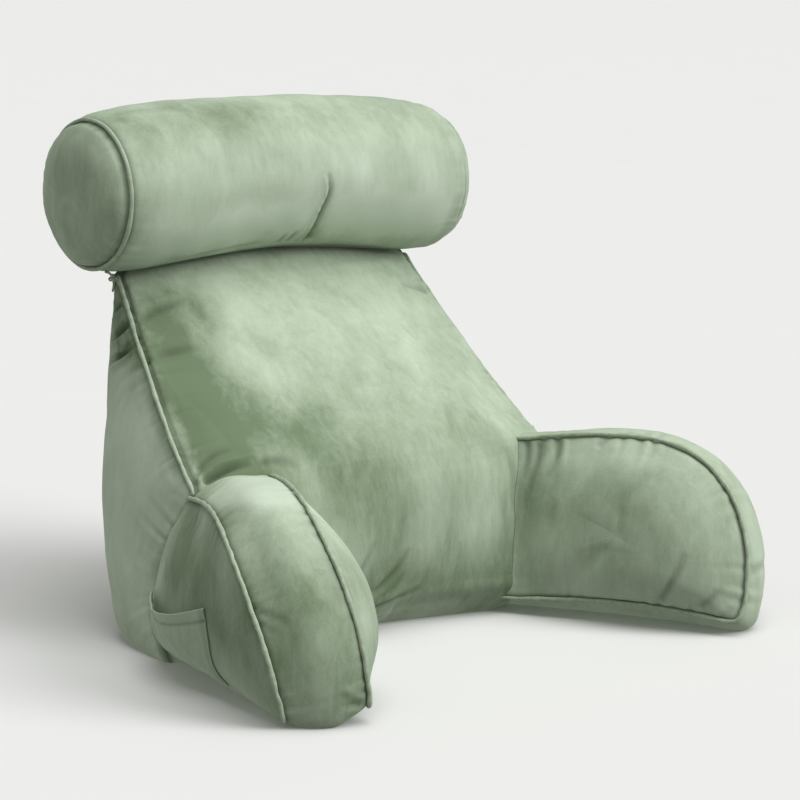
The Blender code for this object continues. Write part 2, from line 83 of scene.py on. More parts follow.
# How the shapes are worked out
CHORD_SHARE = 0.4              # how much of the plain chord smooth_column mixes in
FIELD_WAVES, FIELD_SUM = 12, 3.5     # waves in an uneven field, and what brings their sum to 1
GATHER_WAVES, GATHER_SUM = 5, 2.2    # the same for the gathers along a seam
SEAM_REACH = 0.09              # no seam is felt further off than this
MOTION_EASE, SWELL_EASE = 1.6, 1.5   # how steeply motion and swells rise from a seam
CUT_ANGLE = math.radians(48)   # edges sharper than this were left by a cut and are shaded sharp
CUT_LEAVES = 0.3               # a cut that leaves a smaller share of the faces has failed

# Backrest sections, right half, from the floor up. Each row gives the height, the back corner
# and its radius, the side corner (the piped seam), the front corner beside the arm, and the
# middle of the front.
SECTION_COLUMNS = ("z", "back_x", "back_y", "back_r", "side_x", "side_y",
                   "front_x", "front_y", "mid_y")
SECTIONS = (
    (0.000, 0.280, 0.070, 0.095, 0.305, -0.085, 0.144, -0.130, -0.092),
    (0.010, 0.288, 0.090, 0.112, 0.308, -0.080, 0.157, -0.150, -0.112),
    (0.020, 0.292, 0.103, 0.120, 0.307, -0.074, 0.162, -0.160, -0.122),
    (0.050, 0.292, 0.118, 0.116, 0.300, -0.050, 0.165, -0.161, -0.141),
    (0.080, 0.291, 0.126, 0.102, 0.294, -0.038, 0.167, -0.155, -0.150),
    (0.110, 0.285, 0.128, 0.086, 0.288, -0.047, 0.173, -0.150, -0.153),
    (0.140, 0.279, 0.129, 0.068, 0.281, -0.062, 0.179, -0.144, -0.154),
    (0.170, 0.273, 0.131, 0.055, 0.275, -0.081, 0.185, -0.139, -0.151),
    (0.189, 0.269, 0.132, 0.048, 0.271, -0.091, 0.189, -0.136, -0.146),
    (0.210, 0.264, 0.134, 0.042, 0.2666, -0.0680, 0.192, -0.130, -0.138),
    (0.260, 0.253, 0.138, 0.032, 0.2556, -0.0150, 0.188, -0.070, -0.088),
    (0.320, 0.240, 0.141, 0.022, 0.2425, 0.0420, 0.182, 0.003, -0.013),
    (0.370, 0.229, 0.141, 0.014, 0.2315, 0.0870, 0.175, 0.063, 0.051),
    (0.400, 0.223, 0.1385, 0.008, 0.2249, 0.1120, 0.170, 0.101, 0.094),
    (0.4145, 0.2200, 0.134, 0.004, 0.2217, 0.1248, 0.168, 0.120, 0.117),
    (0.4195, 0.2160, 0.1325, 0.002, 0.2160, 0.1275, 0.166, 0.1265, 0.126),
)


class Side(Enum):
    """The two sides of the pillow, by the sign of X."""

    LEFT = -1
    RIGHT = 1

    @property
    def word(self) -> str:
        """The side's name as the pieces carry it."""
        return self.name.lower()


class Fold(Enum):
    """How a crease stands: as a hollow, or as a soft ridge."""

    TROUGH = -1
    RIDGE = 1


def shares(count: int) -> Array:
    """Even shares of a stretch, its two ends left out."""
    return (np.arange(count) + 1) / (count + 1)


def clamp(value: Array) -> Array:
    """A value kept from 0 to 1."""
    return np.clip(value, 0, 1)


def bell(value: Array, width: float) -> Array:
    """A hump of height 1: e^-(value / width)^2."""
    return np.exp(-(value / width) ** 2)


def unit(vectors: Array) -> Array:
    """Vectors, along the last axis, brought to length 1."""
    return vectors / np.linalg.norm(vectors, axis=-1, keepdims=True)


def uneven(points: Array, wavelength: float, seed: int) -> Array:
    """A smooth uneven field: sine waves of random direction and phase, added up.

    Args:
        points: places, (..., 3).
        wavelength: about how far apart its swells lie.
        seed: which field.

    Returns:
        Values of about -1 to 1, one for each place.
    """
    rng = np.random.default_rng(seed)
    direction = unit(rng.normal(size=(FIELD_WAVES, 3)))
    number = 2 * math.pi / (wavelength * rng.uniform(0.7, 1.6, FIELD_WAVES))
    phase = rng.uniform(0, 2 * math.pi, FIELD_WAVES)
    return np.sin(points @ (direction * number[:, None]).T + phase).sum(axis=-1) / FIELD_SUM


def gathers(along: Array, wavelength: float, seed: int) -> Array:
    """Uneven gathers along a seam: sine waves, louder in some stretches than in others."""
    rng = np.random.default_rng(seed)
    number = 2 * math.pi / (wavelength * rng.uniform(0.6, 1.5, GATHER_WAVES))
    phase = rng.uniform(0, 2 * math.pi, 2 * GATHER_WAVES)
    waves = np.sin(along[:, None] * number + phase[:GATHER_WAVES]).sum(axis=1) / GATHER_SUM
    loud = np.sin(along[:, None] * number / 6.3 + phase[GATHER_WAVES:]).sum(axis=1) / GATHER_SUM
    return waves * np.clip(0.45 + 0.55 * loud, 0.05, 1.3)


def smooth_column(heights: Array, values: Array, levels: Array) -> Array:
    """Interpolate a table column: on each stretch, two straight lines of the table's own slopes
    are blended by 3t^2 - 2t^3, and the chord is mixed in for CHORD_SHARE."""
    slopes = np.gradient(values, heights)
    index = np.clip(np.searchsorted(heights, levels, side="right") - 1, 0, len(heights) - 2)
    width = heights[index + 1] - heights[index]
    t = (levels - heights[index]) / width
    blend = t * t * (3 - 2 * t)
    start = values[index] + (levels - heights[index]) * slopes[index]
    end = values[index + 1] - (heights[index + 1] - levels) * slopes[index + 1]
    eased = start * (1 - blend) + end * blend
    plain = values[index] * (1 - t) + values[index + 1] * t
    return (1 - CHORD_SHARE) * eased + CHORD_SHARE * plain


@dataclass(frozen=True)
class Line:
    """A line in space through many points."""

    points: Array

    @classmethod
    def through(cls, knots: Sequence[Point], step: float) -> "Line":
        """A smooth line through a few knots, each coordinate interpolated over the chord length."""
        rough = cls(np.array(knots, float))
        at = rough.lengths()
        fine = np.linspace(0, at[-1], max(3, int(round(at[-1] / step)) + 1))
        columns = [smooth_column(at, rough.points[:, k], fine) for k in range(3)]
        return cls(np.stack(columns, axis=1))

    def lengths(self) -> Array:
        """How far along the line each point is."""
        steps = np.linalg.norm(np.diff(self.points, axis=0), axis=1)
        return np.concatenate(([0.0], np.cumsum(steps)))

    def spaced(self, step: float) -> "Line":
        """The line again, with its points a step apart."""
        along = self.lengths()
        at = np.linspace(0, along[-1], max(3, int(round(along[-1] / step)) + 1))
        return Line(np.stack([np.interp(at, along, self.points[:, k]) for k in range(3)], axis=1))

    def softened(self, passes: int) -> "Line":
        """The line with its corners rounded: each point moves to a mean of its neighbours'."""
        points = self.points.copy()
        for _ in range(passes):
            points[1:-1] = (points[:-2] + 2 * points[1:-1] + points[2:]) / 4
        return Line(points)

    def nearest(self, where: Array, within: float) -> tuple[Array, Array, Array]:
        """Find how places lie to the line, one stretch of the line at a time.

        Args:
            where: places, (n, 3).
            within: places further than this from the line's box are left at infinity.

        Returns:
            The distance, how far along the line the nearest point is, and six numbers: the gap
            from that point to the place, then the line's unit direction there.
        """
        distance = np.full(len(where), np.inf)
        along = np.zeros(len(where))
        off = np.zeros((len(where), 6))
        inside = (where > self.points.min(axis=0) - within) & (where < self.points.max(axis=0) + within)
        near = np.nonzero(inside.all(axis=1))[0]
        spot = where[near]
        best = np.full(len(near), np.inf)
        reach = np.zeros(len(near))
        found = np.zeros((len(near), 6))
        starts = self.lengths()
        for number, (start, end) in enumerate(zip(self.points[:-1], self.points[1:])):
            way = end - start
            size = max(float(way @ way), 1e-14)
            share = clamp((spot - start) @ way / size)
            gap = spot - start - share[:, None] * way
            far = np.linalg.norm(gap, axis=1)
            closer = far < best
            best[closer] = far[closer]
            reach[closer] = starts[number] + share[closer] * math.sqrt(size)
            found[closer, :3] = gap[closer]
            found[closer, 3:] = way / math.sqrt(size)
        distance[near] = best
        along[near] = reach
        off[near] = found
        return distance, along, off


@dataclass
class Shell:
    """A closed body of rings: p(row, column), where columns run round and close on themselves and
    the first and last rings close on a pole, the mean of the ring."""

    rings: Array

    def with_poles(self) -> Array:
        """The rings with each pole as a ring of its own."""
        count = self.rings.shape[1]
        first = np.repeat(self.rings[0].mean(axis=0)[None, None], count, axis=1)
        last = np.repeat(self.rings[-1].mean(axis=0)[None, None], count, axis=1)
        return np.concatenate((first, self.rings, last))

    def raw_normals(self) -> Array:
        """Cross products of the central differences down and along the rings."""
        rows = self.with_poles()
        down = rows[2:] - rows[:-2]
        around = np.roll(self.rings, -1, axis=1) - np.roll(self.rings, 1, axis=1)
        return np.cross(around, down)

    def turn(self) -> float:
        """1 if the cross products point outwards, -1 if they point inwards, by the volume's sign."""
        middle = self.rings.mean(axis=(0, 1))
        return 1.0 if (self.raw_normals() * (self.rings - middle)).sum() > 0 else -1.0

    def normals(self) -> Array:
        """Unit normals that point outwards, one for each point of the rings."""
        raw = self.raw_normals() * self.turn()
        return raw / np.maximum(np.linalg.norm(raw, axis=2), 1e-12)[..., None]

    def faces(self) -> list[list[int]]:
        """Quads between the rings and triangles to the poles, all turned outwards."""
        rows, count = self.rings.shape[:2]
        at = np.arange(rows * count).reshape(rows, count)
        low, high = at[:-1], at[1:]
        quads = np.stack((low, np.roll(low, -1, axis=1), np.roll(high, -1, axis=1), high), axis=2)
        first = np.stack((at[0], np.roll(at[0], -1), np.full(count, rows * count)), axis=1)
        last = np.stack((at[-1], np.roll(at[-1], -1), np.full(count, rows * count + 1)), axis=1)
        quads, first = quads.reshape(-1, 4), first[:, ::-1]
        if self.turn() < 0:
            quads, first, last = quads[:, ::-1], first[:, ::-1], last[:, ::-1]
        return quads.tolist() + first.tolist() + last.tolist()

    def vertices(self) -> Array:
        """All the points in one list, the two poles at its end."""
        poles = np.stack((self.rings[0].mean(axis=0), self.rings[-1].mean(axis=0)))
        return np.concatenate((self.rings.reshape(-1, 3), poles))

    def pushed(self, height: Array) -> "Shell":
        """The shell with each point moved along its normal."""
        return Shell(self.rings + self.normals() * height.reshape(self.rings.shape[:2])[..., None])


def linked(name: str, data: bpy.types.ID) -> bpy.types.Object:
    """A new object of the scene that shows some data."""
    thing = bpy.data.objects.new(name, data)
    bpy.context.scene.collection.objects.link(thing)
    return thing


def make_object(name: str, vertices: Array, faces: Iterable[Sequence[int]],
                hollow: Array | None = None, nap: Array | None = None) -> bpy.types.Object:
    """Put arrays into a smooth-shaded mesh and its object into the scene.

    Args:
        name: the piece's name.
        vertices: points, (n, 3).
        faces: the corner numbers of each face.
        hollow: how much painted shade each point gets in its colour, in seams, folds, stitching and
            where pieces touch, from 0 to 1.
        nap: how light the pile is brushed there, together with painted light and shade laid on the same
            way, about -0.5 to 0.5.

    Returns:
        The new object.
    """
    mesh = bpy.data.meshes.new(name)
    mesh.from_pydata(np.asarray(vertices).tolist(), [], faces)
    mesh.shade_smooth()
    for word, values in (("hollow", hollow), ("nap", nap)):
        if values is not None:
            layer = mesh.attributes.new(word, "FLOAT", "POINT")
            layer.data.foreach_set("value", np.clip(values, -1, 1).astype(np.float32))
    mesh.validate()
    return linked(name, mesh)


@dataclass(frozen=True)
class Filling:
    """The stuffing that blows a shell out: Blender's cloth under pressure, with its held points
    fixed, on a coarser copy of the shell whose motion is then carried to the fine one.

    Coarser says which rows and columns the copy keeps, most is the furthest that a point may
    move, slack the share by which the cloth is cut too large, and passes how often, for each
    step of coarser, the motion is averaged with its neighbours'. Within hub_rows of a pole it
    turns into the mean of its ring.
    """

    coarser: int
    most: float
    slack: float
    pressure: float = 4.0
    frames: int = 20
    passes: int = 6
    hub_rows: int = 9

    def motion(self, shell: Shell, held: Array) -> Array:
        """Simulate the coarse copy and interpolate its motion over the rows and columns.

        Args:
            shell: the fine shell at rest.
            held: 1 where a point keeps its place, 0 where it is free, for each point.

        Returns:
            The motion of each point of the rings, no longer than the most it may be.
        """
        rows, count = shell.rings.shape[:2]
        step = self.coarser
        rough = Shell(shell.rings[::step, ::step])
        thing = make_object("filling", rough.vertices(), rough.faces())
        group = thing.vertex_groups.new(name="held")
        firm = np.concatenate((held[::step, ::step].ravel(), (held[0].mean(), held[-1].mean())))
        for weight in (0.25, 0.5, 0.75, 1.0):
            chosen = np.nonzero(np.abs(firm - weight) <= 0.125)[0]
            group.add(chosen.tolist(), weight, "REPLACE")
        cloth = thing.modifiers.new("Cloth", "CLOTH")
        cloth.settings.use_pressure = True
        cloth.settings.uniform_pressure_force = self.pressure
        cloth.settings.vertex_group_mass = "held"
        cloth.settings.shrink_min = -self.slack
        cloth.settings.effector_weights.gravity = 0.0
        cloth.point_cache.frame_start = 1
        cloth.point_cache.frame_end = self.frames
        for number in range(1, self.frames + 1):
            bpy.context.scene.frame_set(number)
        grown = thing.evaluated_get(bpy.context.evaluated_depsgraph_get()).to_mesh()
        places = np.zeros(len(grown.vertices) * 3, np.float32)
        grown.vertices.foreach_get("co", places)
        moved = places.reshape(-1, 3)[:-2].reshape(rough.rings.shape) - rough.rings
        bpy.data.objects.remove(thing)
        bpy.context.scene.frame_set(1)
        return self.carried(moved, rows, count)

    def carried(self, moved: Array, rows: int, count: int) -> Array:
        """Spread the coarse motion over the fine rows and columns by straight lines, average it
        with its neighbours, even it out round the poles, and cap its length d by
        most tanh(d / most)."""
        wide = np.concatenate((moved, moved[:, :1]), axis=1)
        down = np.arange(rows) / self.coarser
        low = np.minimum(down.astype(int), len(moved) - 2)
        wide = wide[low] + (down - low)[:, None, None] * (wide[low + 1] - wide[low])
        across = np.arange(count) / self.coarser
        left = across.astype(int)
        share = (across - left)[None, :, None]
        fine = wide[:, left] * (1 - share) + wide[:, left + 1] * share
        for _ in range(self.passes * self.coarser):
            fine = (np.roll(fine, 1, axis=1) + 2 * fine + np.roll(fine, -1, axis=1)) / 4
            fine[1:-1] = (fine[:-2] + 2 * fine[1:-1] + fine[2:]) / 4
        hub = clamp(1 - np.arange(rows) / self.hub_rows)
        hub = np.maximum(hub, hub[::-1])[:, None, None]
        fine = fine * (1 - hub) + fine.mean(axis=1, keepdims=True) * hub
        far = np.linalg.norm(fine, axis=2)
        LOG.info("filling moved points %.1f mm on average, %.1f mm at most",
                 1000 * far.mean(), 1000 * far.max())
        return fine * (self.most * np.tanh(far / self.most) / np.maximum(far, 1e-9))[..., None]


@dataclass
class Relief:
    """What seams, gathers, creases and patches add up to on a shell: a height along the normals,
    how much painted shade each point gets in its colour, and how light its pile is brushed,
    together with painted light and shade laid on in patches."""

    shell: Shell
    height: Array = field(init=False)
    hollow: Array = field(init=False)
    nap: Array = field(init=False)
    points: Array = field(init=False)
    normals: Array = field(init=False)

    def __post_init__(self) -> None:
        """Start flat."""
        self.points = self.shell.rings.reshape(-1, 3)
        self.normals = self.shell.normals().reshape(-1, 3)
        self.height = np.zeros(len(self.points))
        self.hollow = np.zeros(len(self.points))
        self.nap = np.zeros(len(self.points))

    def fade_at_floor(self) -> None:
        """Leave the cloth flat where it rests on the floor."""
        self.height *= clamp(self.points[:, 2] / FLOOR_EASE)

    def finished(self, name: str) -> bpy.types.Object:
        """Push the shell by the heights, keep it above the floor and make it an object."""
        shell = self.shell.pushed(self.height)
        shell.rings[..., 2] = np.maximum(shell.rings[..., 2], 0.0)
        nap = self.nap.reshape(self.shell.rings.shape[:2])
        hollow = np.concatenate((self.hollow, (0.0, 0.0)))
        nap = np.concatenate((self.nap, (nap[0].mean(), nap[-1].mean())))
        return make_object(name, shell.vertices(), shell.faces(), hollow, nap)


@dataclass(frozen=True)
class Seam:
    """A sewn line. At the distance d from it the cloth dips by dip e^-(d/width)^2, puffs up by
    puff (1 - e^-(d/rise)^2) e^-(d/spread)^2, gathers by waves of the height gather that fade as
    e^-(d/reach) (1 - e^-(d/flat)^2), and gets painted shade in its colour, shade e^-(d/shadow)^2.
    The gathers' own troughs add painted shade of pleat_shade times their fading."""

    line: Line
    seed: int
    dip: float = 0.0006
    width: float = 0.0045
    puff: float = 0.0012
    rise: float = 0.006
    spread: float = 0.016
    gather: float = 0.0007
    wavelength: float = 0.016
    reach: float = 0.020
    flat: float = 0.004
    shade: float = 1.0
    shadow: float = 0.0048
    pleat_shade: float = 0.25

    def press(self, relief: Relief) -> None:
        """Add the seam to a shell's relief."""
        distance, along, _ = self.line.nearest(relief.points, SEAM_REACH)
        near = np.isfinite(distance)
        far = distance[near]
        waves = gathers(along[near], self.wavelength, self.seed)
        fade = np.exp(-far / self.reach) * (1 - bell(far, self.flat))
        dip = self.dip * bell(far, self.width)
        relief.height[near] += self.gather * waves * fade - dip
        puff = (1 - bell(far, self.rise)) * bell(far, self.spread)
        relief.height[near] += self.puff * puff
        # painted shade beside the seam, and in the gathers' troughs
        dark = self.shade * bell(far, self.shadow)
        relief.hollow[near] = np.maximum(relief.hollow[near], dark)
        relief.hollow[near] += self.pleat_shade * clamp(-waves) * fade


@dataclass(frozen=True)
class Crease:
    """A fold in the cloth along a few knots. Across it, at s = distance / width, its height is
    depth (e^-s^2 - |lip| e^-(s - lip_at)^2), turned over for a trough; the lip lies on the side
    that its sign names. Along it, it fades over the shares fade_in and fade_out of its length. A
    trough also gets painted shade in its colour, shade e^-(s/shade_width)^2, in full from full_depth
    on."""

    knots: tuple[Point, ...]
    fold: Fold
    depth: float
    width: float
    lip: float
    fade_in: float
    fade_out: float
    lip_at: float = 1.9
    full_depth: float = 0.0055
    shade: float = 0.9
    shade_width: float = 0.95

    def press(self, relief: Relief) -> None:
        """Lay the crease on the shell and add it to the relief.

        The knots are first moved along the normal of the nearest point onto the surface. Points
        that face another way than the crease are spared by the squared cosine between them.
        """
        line = Line.through(self.knots, 0.003)
        gaps = line.points[:, None, :] - relief.points[None, :: 3, :]
        nearest = 3 * (gaps ** 2).sum(axis=2).argmin(axis=1)
        facing = relief.normals[nearest]
        rise = ((relief.points[nearest] - line.points) * facing).sum(axis=1)
        line = Line(line.points + rise[:, None] * facing).softened(8)
        distance, along, off = line.nearest(relief.points, 5 * self.width)
        near = np.nonzero(np.isfinite(distance))[0]
        normal = relief.normals[near]
        gap, way = off[near, :3], off[near, 3:]
        gap = gap - (gap * normal).sum(axis=1)[:, None] * normal
        level = np.linalg.norm(gap, axis=1) / self.width
        side = np.sign((np.cross(way, gap) * normal).sum(axis=1))
        t = along[near] / max(line.lengths()[-1], 1e-9)
        fade = clamp(t / self.fade_in) * clamp((1 - t) / self.fade_out)
        fade = np.sqrt(fade) * (distance[near] < 4.5 * self.width)
        own = facing[np.rint(t * (len(facing) - 1)).astype(int)]
        fade = fade * clamp((own * normal).sum(axis=1)) ** 2
        shape = np.exp(-level ** 2)
        lip = abs(self.lip) * np.exp(-(level * side * np.sign(self.lip or 1.0) - self.lip_at) ** 2)
        sign = self.fold.value
        relief.height[near] += self.depth * fade * (sign * shape - sign * lip)
        # a trough gets painted shade in its colour
        if self.fold is Fold.TROUGH:
            full = self.shade * min(1.0, self.depth / self.full_depth)
            dark = full * fade * bell(level, self.shade_width)
            relief.hollow[near] = np.maximum(relief.hollow[near], dark)


@dataclass(frozen=True)
class NapAndLightPatch:
    """A patch of pile brushed lighter or deeper, which also lays painted light and shade on the
    colour, as on an arm's top or down a fold: its lightness times e^-(d/reach)^2, where d is
    the distance to a line through its knots."""

    knots: tuple[Point, ...]
    reach: float
    lightness: float

    def press(self, relief: Relief) -> None:
        """Add the patch to a shell's brushed pile and painted light and shade, its border wandering by
        about a fifth of its reach.
        """
        if len(self.knots) > 1:
            line = Line.through(self.knots, 0.01)
        else:
            line = Line(np.array(self.knots * 2, float))
        distance, _, _ = line.nearest(relief.points, 3 * self.reach)
        near = np.isfinite(distance)
        wander = 1 + 0.22 * uneven(relief.points[near], 1.3 * self.reach, 7)
        relief.nap[near] += self.lightness * bell(distance[near] * wander, self.reach)


def folds(rows: Iterable[Sequence]) -> list[Crease]:
    """Creases from rows of knots, fold, depth, width, lip, fade in and fade out. The knots, the
    depth and the width are in millimetres."""
    return [Crease(tuple(np.array(knots) / 1000), fold, depth / 1000, width / 1000, *ends)
            for knots, fold, depth, width, *ends in rows]


def nap_and_light_patches(rows: Iterable[Sequence]) -> list[NapAndLightPatch]:
    """Patches of brushed pile and painted light and shade from rows of knots and reach, in millimetres,
    and lightness.
    """
    return [NapAndLightPatch(tuple(np.array(knots) / 1000), reach / 1000, lightness)
            for knots, reach, lightness in rows]


def swollen(shell_object: bpy.types.Object, name: str, swell: float) -> bpy.types.Object:
    """A hidden copy of a piece that stands off it, to cut its neighbours with."""
    mesh = shell_object.data.copy()
    mesh.name = name
    count = len(mesh.vertices)
    places, normals = np.zeros(count * 3, np.float32), np.zeros(count * 3, np.float32)
    mesh.vertices.foreach_get("co", places)
    mesh.vertex_normals.foreach_get("vector", normals)
    mesh.vertices.foreach_set("co", places + swell * normals)
    mesh.update()
    copy = linked(name, mesh)
    copy.hide_render = True
    return copy


def trimmed(thing: bpy.types.Object, cutters: Sequence[bpy.types.Object]) -> None:
    """Cut a piece by its neighbours' swollen copies and keep the mesh that is left."""
    for solver in ("MANIFOLD", "EXACT"):
        for cutter in cutters:
            cut = thing.modifiers.new("Cut", "BOOLEAN")
            cut.operation = "DIFFERENCE"
            cut.object = cutter
            cut.solver = solver
        bpy.context.view_layer.update()
        whole = bpy.data.meshes.new_from_object(
            thing.evaluated_get(bpy.context.evaluated_depsgraph_get()))
        thing.modifiers.clear()
        if len(whole.polygons) > CUT_LEAVES * len(thing.data.polygons):
            break
        LOG.warning("%s: the %s cut left %d faces", thing.name, solver, len(whole.polygons))
    thing.data = whole
    whole.shade_smooth()
    whole.set_sharp_from_angle(angle=CUT_ANGLE)


def tube(name: str, line: Line, radius: float, across: Point, closed: bool = False,
         sides: int = 12, wobble: float = 0.0, seed: int = 0, taper: float = 0.0) -> bpy.types.Object:
    """A round cord: a circle carried along a line.

    At each point the circle lies in the plane of two vectors: the across direction with its part
    along the line taken off, and the cross product of the two. Its radius swells unevenly.

    Args:
        name: the piece's name.
        line: the line that it follows.
        radius: half its diameter.
        across: a direction that the line never follows.
        closed: whether the line comes back to its start.
        sides: points round the circle.
        wobble: how much the radius changes, as a share, and the line wanders, as a share of it.
        seed: which unevenness.
        taper: length over which each open end rounds off.

    Returns:
        The new object.
    """
    points = line.points
    if closed:
        ahead = np.roll(points, -1, axis=0) - np.roll(points, 1, axis=0)
    else:
        ahead = np.gradient(points, axis=0)
    ahead = unit(ahead)
    first = unit(np.array(across, float) - (ahead @ np.array(across, float))[:, None] * ahead)
    second = np.cross(ahead, first)
    girth = radius * (1 + wobble * uneven(points, 0.03, seed)
                      + 0.5 * wobble * uneven(points, 0.011, seed + 1))
    if taper > 0:
        at = line.lengths()
        end = np.clip(np.minimum(at, at[-1] - at) / taper, 0.04, 1)
        girth = girth * np.sqrt(1 - (1 - end) ** 2)
    points = points + (wobble * radius) * (uneven(points, 0.022, seed + 2)[:, None] * first
                                           + uneven(points, 0.027, seed + 3)[:, None] * second)
    angle = np.linspace(0, 2 * math.pi, sides, endpoint=False)
    rings = (points[:, None] + girth[:, None, None] * (np.cos(angle)[None, :, None] * first[:, None]
                                                     + np.sin(angle)[None, :, None] * second[:, None]))
    if not closed:
        shell = Shell(rings)
        return make_object(name, shell.vertices(), shell.faces())
    rows = len(rings)
    at = np.arange(rows * sides).reshape(rows, sides)
    after = np.roll(at, -1, axis=0)
    quads = np.stack((at, np.roll(at, -1, axis=1), np.roll(after, -1, axis=1), after), axis=2)
    return make_object(name, rings.reshape(-1, 3), quads.reshape(-1, 4).tolist())


class Formula:
    """One number in a material, which + - * / carry on with a Math node each."""

    def __init__(self, desk: "Desk", socket: bpy.types.NodeSocket) -> None:
        """Keep the desk that makes the nodes, and the socket that gives the number."""
        self.desk = desk
        self.socket = socket

    def carried(self, operation: str, first: object, second: object, clamp: bool = False) -> "Formula":
        """Add one Math node."""
        node = self.desk.node("ShaderNodeMath", {"operation": operation, "use_clamp": clamp},
                              {0: first, 1: second})
        return Formula(self.desk, node.outputs[0])

    def __add__(self, other: object) -> "Formula":
        """Sum."""
        return self.carried("ADD", self, other)

    def __sub__(self, other: object) -> "Formula":
        """Difference."""
        return self.carried("SUBTRACT", self, other)

    def __mul__(self, other: object) -> "Formula":
        """Product."""
        return self.carried("MULTIPLY", self, other)

    __radd__, __rmul__ = __add__, __mul__

    def clamped(self) -> "Formula":
        """The number, kept from 0 to 1."""
        return self.carried("ADD", self, 0.0, clamp=True)


class Desk:
    """Where a material's nodes are laid out."""

    def __init__(self, name: str) -> None:
        """Start a material with its Principled shader."""
        self.material = bpy.data.materials.new(name)
        self.material.use_nodes = True
        self.tree = self.material.node_tree
        self.shader = self.tree.nodes["Principled BSDF"]

    def node(self, kind: str, settings: dict[str, object],
             inputs: dict[str | int, object]) -> bpy.types.Node:
        """Make a node.

        Args:
            kind: the node's type.
            settings: its own settings, set first; stops is a ramp's list of (place, colour).
            inputs: values or links of its sockets, by name or number.

        Returns:
            The node.
        """
        node = self.tree.nodes.new(kind)
        for name, value in settings.items():
            if name == "stops":
                elements = node.color_ramp.elements
                while len(elements) < len(value):
                    elements.new(0.5)
                for element, (place, colour) in zip(elements, value):
                    element.position = place
                    element.color = colour
            else:
                setattr(node, name, value)
        for name, value in inputs.items():
            self.feed(node.inputs[name], value)
        return node

    def feed(self, socket: bpy.types.NodeSocket, value: object) -> None:
        """Give a socket a link or a value."""
        if isinstance(value, Formula):
            self.tree.links.new(value.socket, socket)
        elif isinstance(value, bpy.types.NodeSocket):
            self.tree.links.new(value, socket)
        else:
            socket.default_value = value

    def finished(self, inputs: dict[str, object]) -> bpy.types.Material:
        """Give the Principled shader its inputs and hand the material over."""
        for name, value in inputs.items():
            self.feed(self.shader.inputs[name], value)
        return self.material

    def places(self, stretch: Point = (1.0, 1.0, 1.0),
               turn: Point = (0.0, 0.0, 0.0)) -> bpy.types.NodeSocket:
        """Object coordinates, turned and stretched."""
        source = self.node("ShaderNodeTexCoord", {}, {}).outputs["Object"]
        mapping = self.node("ShaderNodeMapping", {},
                            {"Vector": source, "Rotation": turn, "Scale": stretch})
        return mapping.outputs["Vector"]

    def noise(self, where: bpy.types.NodeSocket, scale: float, detail: float, rough: float = 0.5,
              twist: float = 0.0) -> Formula:
        """Noise of about 0 to 1 with its mean at a half."""
        node = self.node("ShaderNodeTexNoise", {}, {"Vector": where, "Scale": scale, "Detail": detail,
                                                    "Roughness": rough, "Distortion": twist})
        return Formula(self, node.outputs["Fac"])

    def attribute(self, name: str) -> Formula:
        """A number that the mesh carries at its points."""
        node = self.node("ShaderNodeAttribute", {"attribute_name": name}, {})
        return Formula(self, node.outputs["Fac"])

    def blend(self, share: object, first: object, second: object) -> bpy.types.NodeSocket:
        """Mix two colours."""
        node = self.node("ShaderNodeMix", {"data_type": "RGBA"}, {0: share, 6: first, 7: second})
        return node.outputs[2]

    def ramp(self, value: Formula, stops: Sequence[tuple[float, Colour]]) -> bpy.types.NodeSocket:
        """A colour ramp."""
        node = self.node("ShaderNodeValToRGB", {"stops": stops}, {"Fac": value})
        return node.outputs["Color"]

    def bump(self, height: Formula, distance: float, strength: float) -> bpy.types.NodeSocket:
        """A Bump node."""
        node = self.node("ShaderNodeBump", {}, {"Height": height, "Distance": distance,
                                                "Strength": strength})
        return node.outputs["Normal"]


